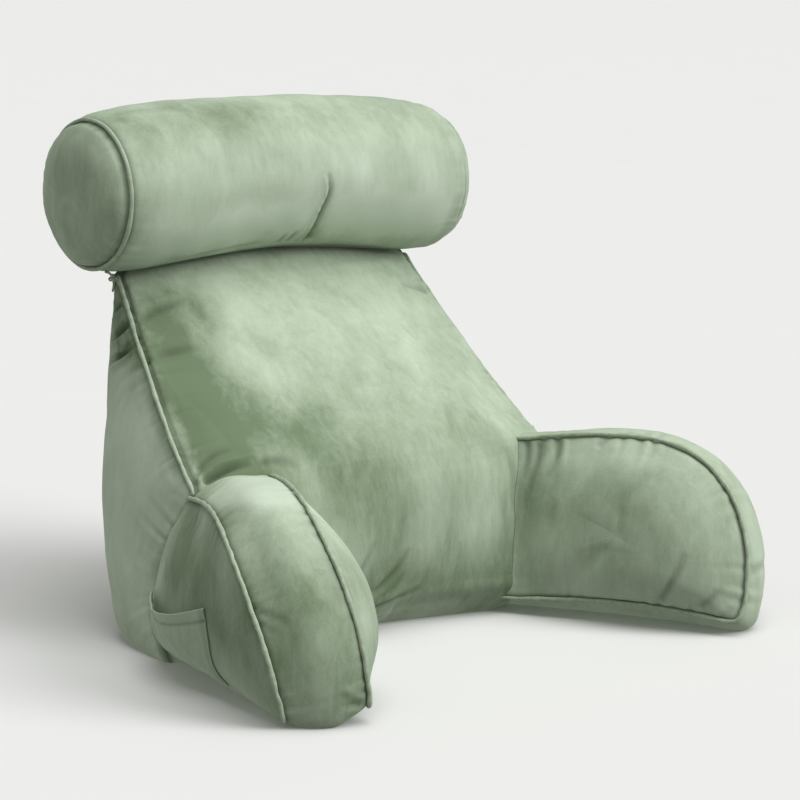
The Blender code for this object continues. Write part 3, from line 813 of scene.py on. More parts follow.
@dataclass(frozen=True)
class Velvet:
    """Short-pile cloth whose nap has been brushed both ways, so that it is light in some patches
    and deep in others, with painted light and shade laid over it, and with painted shade darkest
    down in its seams, folds and where pieces touch."""

    name: str
    deep: Colour = (0.148, 0.205, 0.118, 1.0)
    middle: Colour = (0.420, 0.505, 0.385, 1.0)
    light: Colour = (0.560, 0.650, 0.530, 1.0)
    sheen: float = 0.30
    # how strongly the painted shade of seams, folds and touching pieces darkens the colour
    seam: float = 0.80
    # the darkest painted shade, as a share of the deep colour
    painted_shade_factor: float = 0.20

    def made(self) -> bpy.types.Material:
        """Mix broad swells, brushed patches and slanting strokes, with the mesh's values of brushed
        pile and painted light and shade, into one value for the colour ramp; pile clumps, under a
        millimetre, speckle it and give the bump. Where the mesh carries painted shade, in seams, folds,
        stitching and where pieces touch, the colour goes over into painted_shade_factor times the deep
        one."""
        desk = Desk(self.name)
        plain = desk.places()
        slant = desk.places((1.0, 0.8, 0.30), (0.25, 0.35, 0.5))
        broad = desk.noise(plain, 6.0, 2.0, 0.45, 0.3)
        patch = desk.noise(slant, 26.0, 3.0, 0.5, 0.6)
        strokes = desk.noise(slant, 110.0, 4.0, 0.6, 0.6)
        pile = desk.noise(plain, 1300.0, 2.0, 0.6)
        tufts = desk.noise(plain, 420.0, 3.0, 0.6)
        nap = (broad - 0.5) * 0.55 + (patch - 0.5) * 0.42
        nap = nap + (strokes - 0.5) * 0.30 + (tufts - 0.5) * 0.14 + (pile - 0.5) * 0.16
        # the mesh's values add brushed pile and painted light and shade
        nap = (nap + desk.attribute("nap") + 0.5).clamped()
        cloth = desk.ramp(nap, ((0.0, self.deep), (0.5, self.middle), (0.84, self.light)))
        # painted shade: the colour darkened in seams, folds, stitching and where pieces touch
        shade = (desk.attribute("hollow") * self.seam).clamped()
        painted_shade_colour = tuple(self.painted_shade_factor * v for v in self.deep[:3]) + (1.0,)
        return desk.finished({
            "Base Color": desk.blend(shade, cloth, painted_shade_colour),
            "Roughness": 0.74 + (tufts - 0.5) * 0.2,
            "Normal": desk.bump(pile * 0.25 + tufts * 0.4 + strokes * 0.5 + patch * 0.7, 0.0010, 0.40),
            "Sheen Weight": self.sheen,
            "Sheen Roughness": 0.35,
            "Sheen Tint": SHEEN_TINT,
            "Specular IOR Level": 0.25,
        })


@dataclass(frozen=True)
class Cord:
    """Tightly covered or twisted cord: the cloth's colour, lighter and darker in short slubs along it.
    """

    name: str
    deep: Colour = (0.240, 0.310, 0.205, 1.0)
    light: Colour = (0.440, 0.520, 0.395, 1.0)

    def made(self) -> bpy.types.Material:
        """Short noise along the cord between two colours, with pile for its bump."""
        desk = Desk(self.name)
        plain = desk.places()
        slubs = desk.noise(plain, 120.0, 3.0, 0.6, 0.5)
        pile = desk.noise(plain, 1300.0, 2.0, 0.6)
        value = ((slubs - 0.5) * 1.3 + (pile - 0.5) * 0.25 + 0.55).clamped()
        return desk.finished({
            "Base Color": desk.ramp(value, ((0.1, self.deep), (0.9, self.light))),
            "Roughness": 0.70 + (pile - 0.5) * 0.2,
            "Normal": desk.bump(slubs + pile * 0.4, 0.0008, 0.6),
            "Sheen Weight": 0.25,
            "Sheen Roughness": 0.35,
            "Sheen Tint": SHEEN_TINT,
        })


@dataclass(frozen=True)
class Paper:
    """The pale floor that the pillow stands on."""

    name: str = "pale_floor"
    colour: Colour = (0.755, 0.755, 0.755, 1.0)

    def made(self) -> bpy.types.Material:
        """Nearly flat colour with a faint cloudiness."""
        desk = Desk(self.name)
        cloud = desk.noise(desk.places(), 2.0, 3.0)
        darker = tuple(0.97 * v for v in self.colour[:3]) + (1.0,)
        return desk.finished({"Base Color": desk.blend(cloud, darker, self.colour), "Roughness": 0.9})


def put(thing: bpy.types.Object, node: str,
        material: bpy.types.Material) -> bpy.types.Object:
    """Dress a piece, let it ride on the pillow's body and stand for its solid."""
    thing.data.materials.clear()
    thing.data.materials.append(material)
    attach(thing, "root")
    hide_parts(node)
    LOG.info("%s stands for %s: %d faces", thing.name, node, len(thing.data.polygons))
    return thing


class Cushion(ABC):
    """A filled piece: a shell that is drawn in, blown out by its filling and then marked.

    Start_smaller is how far it is drawn in. Its cloth is held within held_within of a seam and
    free from free_from on; swells are the wavelength and height of each uneven field on it.
    """

    start_smaller: float
    free_from: float
    held_within: float
    swells: Pairs
    filling: Filling

    @abstractmethod
    def shell(self) -> Shell:
        """The piece's surface before it is filled."""

    @abstractmethod
    def creases(self) -> list[Crease]:
        """The folds that the cloth shows."""

    @abstractmethod
    def brushing_and_painted_light(self) -> list[NapAndLightPatch]:
        """Where its pile has been brushed light or deep, and where light and shade are painted on its
        colour.
        """

    def stuffed(self, shell: Shell, edge: Array, held: Array, seed: int) -> Relief:
        """Draw a shell in, let its filling blow it out and lay uneven swells on it.

        Args:
            shell: the piece's surface.
            edge: 0 at its seams to 1 in the open cloth, for each point.
            held: whether a point keeps its place, for each point.
            seed: the first uneven field's seed; the others follow it.

        Returns:
            The relief, ready for seams and folds.
        """
        small = shell.pushed(-self.start_smaller * edge)
        motion = self.filling.motion(small, held.astype(float))
        relief = Relief(Shell(small.rings + motion * clamp(edge * MOTION_EASE)[..., None]))
        swell = sum(uneven(relief.points, wavelength, seed + number) * height
                    for number, (wavelength, height) in enumerate(self.swells))
        relief.height += swell * clamp(edge.ravel() * SWELL_EASE)
        return relief

    def mark(self, relief: Relief) -> None:
        """Press the folds, and the patches of brushed pile and painted light and shade, into the cloth.
        """
        for mark in (*self.creases(), *self.brushing_and_painted_light()):
            mark.press(relief)


def apart(shell: Shell, lines: Iterable[Line], within: float) -> Array:
    """How far each point of a shell is from the nearest of a few lines."""
    flat = shell.rings.reshape(-1, 3)
    distance = np.minimum(*[line.nearest(flat, within)[0] for line in lines])
    return distance.reshape(shell.rings.shape[:2])


def shadow(knots: Sequence[Point], seed: int, shade: float, reach: float) -> Seam:
    """A painted contact shadow where two pieces touch: a seam that only darkens the colour."""
    return Seam(Line.through(knots, 0.006), seed, dip=0.0, puff=0.0, gather=0.0, shade=shade,
                shadow=reach)


@dataclass
class Backrest(Cushion):
    """The filled wedge: a half section lofted level by level, mirrored, with a flat base."""

    top: float = 0.4195
    seam_depth: float = 0.0034
    corner_share: float = 0.72
    rounding_at: tuple[float, ...] = (0.0, 0.46, 0.62, 0.96, 1.0)
    rounding: tuple[float, ...] = (0.012, 0.012, 0.110, 0.500, 0.9)
    ridge_crown: float = 0.0185
    ridge_from: float = 0.24
    back_crown: float = 0.008
    side_crown: float = 0.007
    welt_low: float = 0.188
    welt_high: float = 0.4135
    start_smaller: float = 0.0022
    free_from: float = 0.030
    free_above: float = 0.020       # over the floor and under the ridge
    held_within: float = 0.007
    held_floor: float = 0.003
    held_ridge: float = 0.004
    swells: Pairs = ((0.16, 0.0012), (0.07, 0.0006))
    painted_shade_valley: Point = (0.0052, -0.0020, 0.0)      # from the left seam to a shallow dip beside it, darkened by painted shade
    # where the roll lies on the ridge: a line of painted contact shadow
    painted_contact_shadow: tuple[Point, ...] = (
        (-0.212, 0.119, 0.413), (-0.135, 0.120, 0.426), (-0.061, 0.120, 0.432),
        (0.026, 0.121, 0.434), (0.124, 0.120, 0.429), (0.212, 0.117, 0.412))
    filling: Filling = Filling(coarser=4, most=0.007, slack=0.004)

    def levels(self) -> tuple[Array, Array]:
        """Heights of the rings and how far each is drawn in, from the base's middle to the top's.
        They lie closest together under the ridge."""
        rise = np.concatenate((np.linspace(0, 0.02, 11), np.linspace(0.02, 0.41, 213)[1:],
                               np.linspace(0.41, self.top, 9)[1:]))
        height = np.concatenate((np.zeros(5), rise, np.full(5, self.top)))
        share = np.concatenate(((0.15, 0.4, 0.62, 0.82, 0.95), np.ones(len(rise)),
                                (0.93, 0.78, 0.58, 0.36, 0.15)))
        return height, share

    def values(self, levels: Array) -> dict[str, Array]:
        """Section values at every level."""
        table = np.array(SECTIONS)
        columns = {"z": levels}
        for number, name in enumerate(SECTION_COLUMNS[1:], start=1):
            columns[name] = smooth_column(table[:, 0], table[:, number], levels)
        height = levels / self.top
        columns["fullness"] = np.sqrt(clamp(np.sin(math.pi * np.clip(height, 0.03, 0.97))))
        columns["front_r"] = np.interp(height, self.rounding_at, self.rounding)
        return columns

    def bowed(self, start: Array, end: Array, crown: float, shares: Array) -> Array:
        """Points between two ends, bowed to the right of the way by crown sin(pi share)."""
        way = end - start
        across = np.array((way[1], -way[0])) / max(np.hypot(*way), 1e-9)
        return start + shares[:, None] * way + (crown * np.sin(math.pi * shares))[:, None] * across

    def rounded(self, before: Array, corner: Array, after: Array, radius: float, count: int) -> Array:
        """Points on the arc that rounds a corner, cut back where a leg would run out."""
        inward = (before - corner) / np.hypot(*(before - corner))
        outward = (after - corner) / np.hypot(*(after - corner))
        half = math.acos(np.clip(inward @ outward, -1, 1)) / 2
        reach = min(radius / math.tan(half), self.corner_share * np.hypot(*(before - corner)),
                    self.corner_share * np.hypot(*(after - corner)))
        radius = reach * math.tan(half)
        bisector = (inward + outward) / np.hypot(*(inward + outward))
        middle = corner + bisector * radius / math.sin(half)
        first = corner + inward * reach - middle
        last = corner + outward * reach - middle
        turn = math.atan2(first[0] * last[1] - first[1] * last[0], first @ last)
        angles = math.atan2(first[1], first[0]) + np.linspace(0, turn, count)
        return middle + radius * np.stack((np.cos(angles), np.sin(angles)), axis=1)

    def section(self, row: dict[str, float]) -> Array:
        """Right half of one level, from the middle of the front to the middle of the back."""
        mid_front = np.array((0.0, row["mid_y"]))
        front = np.array((row["front_x"], row["front_y"]))
        side = np.array((row["side_x"], row["side_y"]))
        back = np.array((row["back_x"], row["back_y"]))
        mid_back = np.array((0.0, row["back_y"] + self.back_crown * row["fullness"]))
        to_front = (front - side) / np.hypot(*(front - side))
        to_back = (back - side) / np.hypot(*(back - side))
        leg = self.seam_depth / math.sqrt((1 + to_front @ to_back) / 2)
        lip_front = side + to_front * leg
        lip_back = side + to_back * min(leg, 0.4 * np.hypot(*(back - side)))
        front_arc = self.rounded(mid_front, front, side, row["front_r"], 17)
        back_arc = self.rounded(lip_back, back, mid_back, row["back_r"], 25)
        return np.concatenate((
            mid_front[None],
            self.bowed(mid_front, front_arc[0], 0.0, shares(46)),
            front_arc,
            self.bowed(front_arc[-1], lip_front, 0.003 * row["fullness"], 1 - (1 - shares(24)) ** 1.35),
            lip_front[None],
            lip_back[None],
            self.bowed(lip_back, back_arc[0], self.side_crown * row["fullness"], shares(48) ** 1.25),
            back_arc,
            self.bowed(back_arc[-1], mid_back, 0.0, shares(39)),
            mid_back[None],
        ))

    def shell(self) -> Shell:
        """The whole wedge: each half section, lifted by ridge_crown e^1.5 (1 - x^2), and its
        mirror image, where e is the share of the way up from ridge_from and x the place across."""
        height, share = self.levels()
        columns = self.values(height)
        rings = []
        for number, (level, drawn) in enumerate(zip(height, share)):
            half = self.section({name: values[number] for name, values in columns.items()})
            ease = clamp((level - self.ridge_from) / (self.top - self.ridge_from))
            lift = self.ridge_crown * ease ** 1.5 * (1 - (half[:, 0] / half[:, 0].max()) ** 2)
            whole = np.concatenate((half, half[-2:0:-1] * (-1, 1)))
            lift = np.concatenate((lift, lift[-2:0:-1]))
            middle = whole.mean(axis=0)
            flat = middle + drawn * (whole - middle)
            rings.append(np.column_stack((flat, level + lift)))
        return Shell(np.array(rings))

    def seam(self, side: Side, low: float, high: float) -> Line:
        """The piped seam of one side, where the front meets the side panel."""
        columns = self.values(np.linspace(low, high, 90))
        return Line(np.stack((side.value * columns["side_x"], columns["side_y"], columns["z"]), axis=1))

    def creases(self) -> list[Crease]:
        """The folds that the cloth shows, and their like on the hidden side."""
        low, ridge = Fold.TROUGH, Fold.RIDGE
        return folds((
            # knots, fold, depth, width, lip, fade in, fade out
            (((-229, 82, 365), (-220, 78, 368), (-202, 78, 377), (-180, 74, 381), (-154, 75, 385)),
             low, 3.2, 5.5, 0.5, 0.35, 0.6),
            (((-229, 42, 328), (-216, 36, 332), (-202, 29, 335), (-180, 24, 337)),
             low, 3, 5.5, 0.5, 0.35, 0.6),
            (((-231, 86, 364), (-237, 92, 354), (-239, 104, 345), (-237, 124, 338)),
             low, 6.6, 4.6, 0.55, 0.3, 0.6),
            (((-239, 69, 337), (-244, 80, 328), (-246, 94, 321), (-244, 120, 312)),
             low, 6.8, 4.6, 0.55, 0.3, 0.6),
            (((-228, 105, 385), (-233, 113, 377), (-231, 130, 366)), low, 5, 3.8, 0.5, 0.3, 0.6),
            (((-236, 70, 346), (-241, 78, 338), (-245, 98, 329)), low, 2.4, 3.2, 0.4, 0.05, 0.7),
            (((-262, -85, 199), (-239, -87, 216), (-218, -97, 224), (-192, -108, 229)),
             ridge, 5, 3.6, 0, 0.05, 0.4),
            (((-257, -91, 201), (-228, -99, 214), (-206, -110, 220)), low, 5.2, 3.6, 0, 0.05, 0.5),
            (((-256, -76, 214), (-235, -78, 229), (-214, -86, 236)), low, 3, 3.6, 0, 0.05, 0.5),
            (((-202, -114, 219), (-182, -119, 223), (-165, -121, 219), (-149, -128, 210)),
             low, 3, 6, 0, 0.2, 0.5),
            (((-159, 75, 384), (-153, 55, 368), (-149, 42, 357), (-145, 31, 349)),
             low, 1.4, 4, 0.6, 0.3, 0.5),
            (((-86, -153, 66), (-78, -152, 81), (-66, -152, 99), (-57, -152, 118)),
             low, 2.4, 4.8, 0.5, 0.1, 0.6),
            (((-62, -146, 36), (-45, -146, 46), (-27, -145, 57), (-8, -149, 75)),
             ridge, 3, 4.4, -0.5, 0.1, 0.5),
            (((-52, -140, 24), (-34, -138, 28), (1, -134, 36), (26, -142, 47)),
             low, 3.4, 4.6, 0.4, 0.1, 0.5),
            (((-50, -150, 50), (-37, -149, 62), (-15, -150, 80), (-2, -152, 101)),
             low, 2.4, 4.2, 0.5, 0.1, 0.6),
            (((168, -130, 200), (171, -140, 165), (168, -146, 120)), low, 2, 5, 0.4, 0.3, 0.6),
            (((156, -140, 150), (152, -150, 110), (150, -156, 70)), low, 1.6, 6, 0.4, 0.3, 0.6),
            # hidden side and back
            (((229, 86, 360), (235, 96, 348), (238, 124, 334)), low, 4.2, 4.4, 0.5, 0.05, 0.6),
            (((238, 64, 330), (243, 82, 316), (243, 118, 298)), low, 3.6, 4.4, 0.5, 0.05, 0.6),
            (((220, 78, 366), (203, 77, 374), (176, 72, 380)), low, 2.6, 5, -0.5, 0.05, 0.7),
            (((260, -80, 202), (240, -90, 214), (216, -98, 222)), ridge, 3.4, 4.5, 0.45, 0.05, 0.5),
            (((-200, 150, 330), (-150, 150, 300), (-100, 150, 292)), low, 2.2, 7, 0.4, 0.2, 0.6),
            (((190, 150, 350), (150, 150, 310), (120, 150, 270)), low, 2, 7, 0.4, 0.2, 0.6),
            (((-40, 150, 400), (-20, 150, 360), (-14, 150, 320)), low, 1.8, 6, 0.4, 0.1, 0.7),
            (((235, 120, 60), (200, 135, 85), (150, 137, 92)), low, 2.2, 7, 0.4, 0.3, 0.6),
        ))

    def brushing_and_painted_light(self) -> list[NapAndLightPatch]:
        """Where the pile of the wedge has been brushed light or deep, and where light and shade are
        painted on it.
        """
        return nap_and_light_patches((
            # knots, reach, lightness
            # the front's dark left band: brushed pile and painted shade together
            (((-200, 60, 360), (-205, -40, 260), (-190, -110, 210)), 60, -0.44),
            (((-150, -60, 260), (-90, -120, 200), (-50, -150, 140)), 55, -0.24),
            (((-50, 60, 370), (40, 20, 330), (100, -30, 290)), 80, 0.04),
            (((0, -60, 270), (20, -140, 150)), 130, -0.13),
            (((100, -120, 200), (80, -150, 120)), 80, -0.08),
            # painted shade low on the front, near the floor
            (((-60, -150, 30), (60, -150, 30), (150, -150, 40)), 50, -0.36),
            (((150, -140, 180), (145, -150, 80)), 40, -0.12),
            (((-262, 60, 280), (-295, 40, 120)), 80, 0.24),
            (((-245, 90, 350),), 34, -0.26),
            (((-218, 30, 330), (-232, -40, 262), (-240, -85, 222)), 32, -0.34),
            # painted shade down the two folds of the left side
            (((-235, 90, 357), (-239, 104, 345)), 7, -0.5),
            (((-243, 77, 331), (-246, 94, 321)), 7, -0.5),
        ))

    def build(self) -> bpy.types.Object:
        """Fill the wedge, then press in its seams, gathers and creases; the side that the photo
        hides is puffed more beside its seam."""
        shell = self.shell()
        height = shell.rings[..., 2]
        seams = [self.seam(side, 0.0, self.top) for side in Side]
        distance = apart(shell, seams, 0.2)
        edge = clamp(distance / self.free_from) * clamp(height / self.free_above)
        edge = edge * clamp((self.top - height) / self.free_above)
        held = ((distance < self.held_within) | (height < self.held_floor)
                | (height > self.top - self.held_ridge))
        relief = self.stuffed(shell, edge, held, 11)
        for number, seam in enumerate(seams):
            Seam(seam.spaced(STITCH), 21 + number, dip=0.0, puff=0.0012 + 0.0050 * number, rise=0.008,
                 spread=0.022, gather=0.0010, reach=0.024).press(relief)
        # a shallow dip beside the left seam, darkened by painted shade
        painted_shade_valley = Line(seams[0].points + np.array(self.painted_shade_valley)).spaced(STITCH)
        Seam(painted_shade_valley, 30, dip=0.0004, puff=0.0, gather=0.0, shadow=0.0038).press(relief)
        # painted contact shadow under the roll
        shadow(self.painted_contact_shadow, 29, 0.35, 0.005).press(relief)
        self.mark(relief)
        relief.fade_at_floor()
        return relief.finished("backrest_cover")

    def dress(self, cover: bpy.types.Object, cloth: bpy.types.Material) -> None:
        """Give the wedge its cloth."""
        put(cover, "backrest", cloth)

    def piping(self, side: Side, cord: bpy.types.Material) -> bpy.types.Object:
        """The cord in one front seam, down to where the arm covers it."""
        line = self.seam(side, self.welt_low, self.welt_high).spaced(0.0028)
        welt = tube("piping_backrest_" + side.word, line, WELT_RADIUS, (1.0, 0.0, 0.0),
                    wobble=0.13, seed=31 + side.value, taper=0.002)
        return put(welt, "welt_backrest_" + side.word, cord)


@dataclass
class Arm(Cushion):
    """One filled arm: an inner panel that leans outwards, a strip over it and an outer panel that
    flares at its base, trimmed where the backrest presses into it."""

    side: Side
    foot: tuple[float, float] = (0.1505, -0.167)
    splay: float = math.radians(27.3)
    lean: float = math.radians(14.4)
    length: float = 0.293
    height: float = 0.2085
    height_rear: float = 0.197
    flat_top: float = 0.127
    reach_back: float = 0.130
    thickness: float = 0.090
    inner_seam: float = 0.0196
    outer_seam: float = 0.0035
    seam_bow: float = 0.008
    drop: float = 0.0055
    inner_roundness: float = 2.42
    outer_roundness: float = 2.2
    toe: float = 0.012
    strip_crown: float = 0.014
    inner_crown: float = 0.044
    outer_crown: float = 0.028
    flare: float = 0.071
    softening: int = 12
    start_smaller: float = 0.0018
    free_from: float = 0.026
    free_above: float = 0.018
    held_within: float = 0.006
    held_floor: float = 0.002
    swells: Pairs = ((0.11, 0.0010), (0.05, 0.0005))
    filling: Filling = Filling(coarser=4, most=0.006, slack=0.004)

    @property
    def inner_bow(self) -> float:
        """How far the inner seam bows towards the sitter: the left arm's has been pushed out."""
        return 0.0085 if self.side is Side.LEFT else 0.0

    @property
    def shorter(self) -> float:
        """How much sooner the outer panel ends: the right arm's strip is pulled round."""
        return 0.0 if self.side is Side.LEFT else 0.006

    def axes(self) -> tuple[Array, Array, Array]:
        """Unit vectors: forward, up the inner panel, and outward through the arm."""
        side, splay, lean = self.side.value, self.splay, self.lean
        forward = np.array((side * math.sin(splay), -math.cos(splay), 0.0))
        up = np.array((side * math.sin(lean) * math.cos(splay), math.sin(lean) * math.sin(splay),
                       math.cos(lean)))
        outward = np.array((side * math.cos(lean) * math.cos(splay),
                            math.cos(lean) * math.sin(splay), -math.sin(lean)))
        return forward, up, outward

    def outline(self, roundness: float, shorter: float = 0.0) -> tuple[Array, Array, int, int, int]:
        """Closed outline of a panel, with mitred normals and the counts of its first three runs.

        It goes forward along the nearly level top, down a rounded front whose two shares are the
        sine and cosine to the power 2 / roundness, back along the bottom and up the hidden rear.
        """
        t = np.linspace(0, 1, 73)[:-1]
        rear = -self.reach_back
        along = rear + (self.flat_top - rear) * t
        rise = np.clip(along / self.flat_top, -1, 1)
        top = np.stack((along, self.height_rear + (self.height - self.height_rear)
                        * np.sin(rise * math.pi / 2)), axis=1)
        q = np.linspace(0, math.pi / 2, 89)
        power = 2 / roundness
        reach = self.length - shorter - self.flat_top
        front = np.stack((self.flat_top + reach * np.sin(q) ** power,
                          self.height * np.cos(q).clip(0) ** power), axis=1)
        front[:, 0] -= self.toe * (1 - front[:, 1] / self.height) ** 4
        rough = Line(np.column_stack((front, np.zeros(len(front)))))
        front = rough.spaced(rough.lengths()[-1] / 88).points[:, :2]
        s = np.linspace(0, 1, 113)[1:]
        bottom = np.stack((front[-1, 0] + (rear - front[-1, 0]) * s, np.zeros(len(s))), axis=1)
        v = shares(47)
        back = np.stack((np.full(len(v), rear), top[0, 1] * v), axis=1)
        points = np.concatenate((top, front, bottom, back))
        for _ in range(self.softening):
            points = (np.roll(points, 1, axis=0) + 2 * points + np.roll(points, -1, axis=0)) / 4
        ahead = np.roll(points, -1, axis=0) - points
        ahead /= np.maximum(np.hypot(ahead[:, 0], ahead[:, 1]), 1e-9)[:, None]
        tangent = ahead + np.roll(ahead, 1, axis=0)
        normal = 2 * np.stack((-tangent[:, 1], tangent[:, 0]), axis=1)
        normal /= np.maximum((tangent ** 2).sum(axis=1), 1e-9)[:, None]
        return points, normal, len(top), len(front), len(bottom)

    def space(self, plane: Array, offset: Array | float) -> Array:
        """Carry points (along, up) at a depth through the arm into the world.

        The height up the panel is squeezed between the seam's floor line at that depth and the
        top, so the bottom stays level although the arm leans.
        """
        forward, up, outward = self.axes()
        offset = np.broadcast_to(offset, len(plane))
        along = plane[:, 0]
        depth = np.clip(offset / self.thickness, 0.0, 1.0)
        ahead = clamp(along / self.length)
        inner = self.inner_seam + self.seam_bow * np.sin(math.pi * ahead) - self.drop * ahead ** 3
        seam = inner + (self.outer_seam - inner) * depth
        low = (seam + offset * math.sin(self.lean)) / math.cos(self.lean)
        top = self.height + self.inner_seam / math.cos(self.lean)
        height = low + plane[:, 1] * (top - low) / self.height
        foot = np.array((self.side.value * self.foot[0], self.foot[1], 0.0))
        world = foot + along[:, None] * forward + height[:, None] * up + offset[:, None] * outward
        world[:, 2] = np.maximum(world[:, 2], 0.0)
        return world

    def flared(self, plane: Array) -> Array:
        """Extra width of the base: full at the floor beside the backrest, none at the front or top."""
        rearward = np.clip(1 - plane[:, 0] / (0.95 * self.length), 0, 1.12)
        low = clamp(1 - plane[:, 1] / self.height)
        return self.flare * rearward ** 1.1 * low

    def bow(self, plane: Array) -> Array:
        """How far the inner seam stands towards the sitter: inner_bow sin(pi up) along."""
        up = clamp(plane[:, 1] / self.height)
        return self.inner_bow * np.sin(math.pi * up) * clamp(plane[:, 0] / self.length)

    def crown(self, plane: Array, share: float, rear: float, shift: float, height: float) -> Array:
        """How far a panel stands proud: height (sin(pi a^shift) sin(pi r^0.75))^0.65 (1 - share^5)."""
        along = clamp((plane[:, 0] - rear) / (self.length - rear)) ** shift
        rise = clamp(plane[:, 1] / self.height)
        bump = np.sin(math.pi * along) * np.sin(math.pi * rise ** 0.75)
        return height * clamp(bump) ** 0.65 * (1 - share ** 5)

    def shell(self) -> Shell:
        """Rings from the middle of the inner panel, over the strip, to the outer panel's middle."""
        inner, inner_normal = self.outline(self.inner_roundness)[:2]
        outer, outer_normal = self.outline(self.outer_roundness, self.shorter)[:2]
        centre = np.array((0.45 * self.length, 0.42 * self.height))
        inward = np.concatenate((np.linspace(0.035, 0.86, 40), (0.885, 0.91, 0.93)))
        rings = []
        for share in inward:
            plane = centre + share * (inner - centre)
            crown = self.crown(plane, share, 0.0, 1.5, self.inner_crown)
            rings.append(self.space(plane, -crown - self.bow(plane) * share ** 2))
        lip = self.space(inner - WELT_LEG * inner_normal, -self.bow(inner))
        rings.append((rings[-1] + lip) / 2)
        rings.append(lip)
        edge = WELT_LEG / self.thickness
        depths = np.concatenate(([edge, edge + 0.018], np.linspace(0.085, 0.915, 25),
                                 [1 - edge - 0.018, 1 - edge]))
        for depth in depths:
            crown = max(self.strip_crown * math.sin(math.pi * (depth - 0.045) / 0.91), 0.0)
            points = (1 - depth) * inner + depth * outer
            normal = (1 - depth) * inner_normal + depth * outer_normal
            offset = depth * (self.thickness + self.flared(points)) - (1 - depth) * self.bow(points)
            rings.append(self.space(points + crown * normal, offset))
        lip = self.space(outer - WELT_LEG * outer_normal, self.thickness + self.flared(outer))
        panel = []
        for share in inward:
            plane = centre + share * (outer - centre)
            crown = self.crown(plane, share, -self.reach_back, 1.0, self.outer_crown)
            panel.append(self.space(plane, self.thickness + crown + self.flared(plane)))
        rings.append(lip)
        rings.append((panel[-1] + lip) / 2)
        rings.extend(reversed(panel))
        return Shell(np.array(rings))

    def inner_line(self) -> Line:
        """The inner seam: over the top, down the front and back along the bottom."""
        points, _, top, front, bottom = self.outline(self.inner_roundness)
        return Line(self.space(points, -self.bow(points))[:top + front + bottom])

    def outer_line(self) -> Line:
        """The outer seam: over the top and down the front."""
        points, _, top, front, _ = self.outline(self.outer_roundness, self.shorter)
        return Line(self.space(points, self.thickness + self.flared(points))[:top + front])

    def creases(self) -> list[Crease]:
        """The folds of this arm."""
        low, ridge = Fold.TROUGH, Fold.RIDGE
        return folds({
            Side.RIGHT: (
                # knots, fold, depth, width, lip, fade in, fade out
                (((203, -157, 206), (195, -161, 176), (186, -161, 150), (178, -160, 123)),
                 low, 3, 4.6, 0.6, 0.05, 0.7),
                (((215, -179, 212), (206, -183, 188), (196, -182, 164)), low, 2.2, 4.2, 0.5, 0.05, 0.7),
                (((196, -142, 207), (192, -148, 182), (186, -150, 160)), low, 2.6, 3.6, 0.5, 0.05, 0.7),
                (((191, -198, 145), (187, -198, 128), (181, -199, 107)), low, 1.2, 6, 0.4, 0.4, 0.5),
                (((234, -333, 34), (228, -355, 61), (233, -364, 86), (239, -367, 100)),
                 low, 3, 5.2, 0.6, 0.05, 0.7),
                (((258, -376, 31), (262, -390, 47), (272, -397, 60)), low, 2.4, 4.6, 0.5, 0.05, 0.7),
                (((270, -389, 26), (273, -400, 33), (281, -405, 41)), ridge, 1.8, 3.6, -0.4, 0.1, 0.6),
                (((220, -230, 218), (240, -232, 219), (262, -232, 214)), low, 1.8, 5, 0.4, 0.1, 0.6),
                (((302, -395, 70), (320, -388, 72), (345, -372, 78)), low, 1.8, 5, 0.4, 0.1, 0.6),
            ),
            Side.LEFT: (
                (((-382, -338, 121), (-375, -350, 120), (-367, -362, 116), (-356, -375, 108)),
                 low, 1.3, 4.4, 0.5, 0.05, 0.7),
                (((-382, -346, 109), (-375, -356, 107), (-366, -368, 100)), low, 1, 4, 0.5, 0.05, 0.7),
                (((-292, -415, 22), (-303, -414, 25), (-320, -412, 24)), low, 2.6, 3.6, 0.5, 0.05, 0.6),
                (((-292, -415, 30), (-306, -413, 36), (-322, -411, 46)),
                 ridge, 1.8, 3.8, 0.4, 0.1, 0.6),
                (((-260, -150, 200), (-275, -160, 180), (-288, -165, 150)), low, 1.6, 6, 0.4, 0.2, 0.6),
                (((-310, -70, 120), (-318, -85, 108), (-325, -100, 100)), low, 2.2, 4, 0.5, 0.1, 0.6),
                (((-206, -160, 206), (-198, -164, 180), (-188, -166, 150)),
                 low, 2.6, 4.6, -0.5, 0.05, 0.7),
                (((-236, -335, 36), (-231, -352, 60), (-236, -362, 88)), low, 2.6, 5, -0.5, 0.05, 0.7),
            ),
        }[self.side])

    def brushing_and_painted_light(self) -> list[NapAndLightPatch]:
        """Where the pile of this arm has been brushed light or deep, and where light and shade are
        painted on it.
        """
        return nap_and_light_patches({
            Side.RIGHT: (
                # knots, reach, lightness
                (((180, -180, 120), (240, -300, 110)), 90, -0.22),
                (((290, -370, 150), (280, -380, 100)), 50, -0.04),
                (((210, -200, 215), (280, -330, 195)), 30, 0.05),
                (((190, -250, 30), (240, -350, 30)), 30, 0.14),
            ),
            Side.LEFT: (
                # painted light on the arm's top
                (((-250, -170, 213), (-272, -245, 209)), 55, 0.64),
                (((-345, -330, 165), (-335, -370, 130)), 45, -0.2),
                (((-320, -110, 160), (-350, -220, 130)), 70, -0.5),
                (((-380, -290, 80), (-350, -370, 40)), 60, -0.12),
                (((-345, -370, 120), (-310, -410, 30)), 70, -0.22),
                (((-245, -350, 120), (-250, -370, 60)), 40, -0.1),
            ),
        }[self.side])

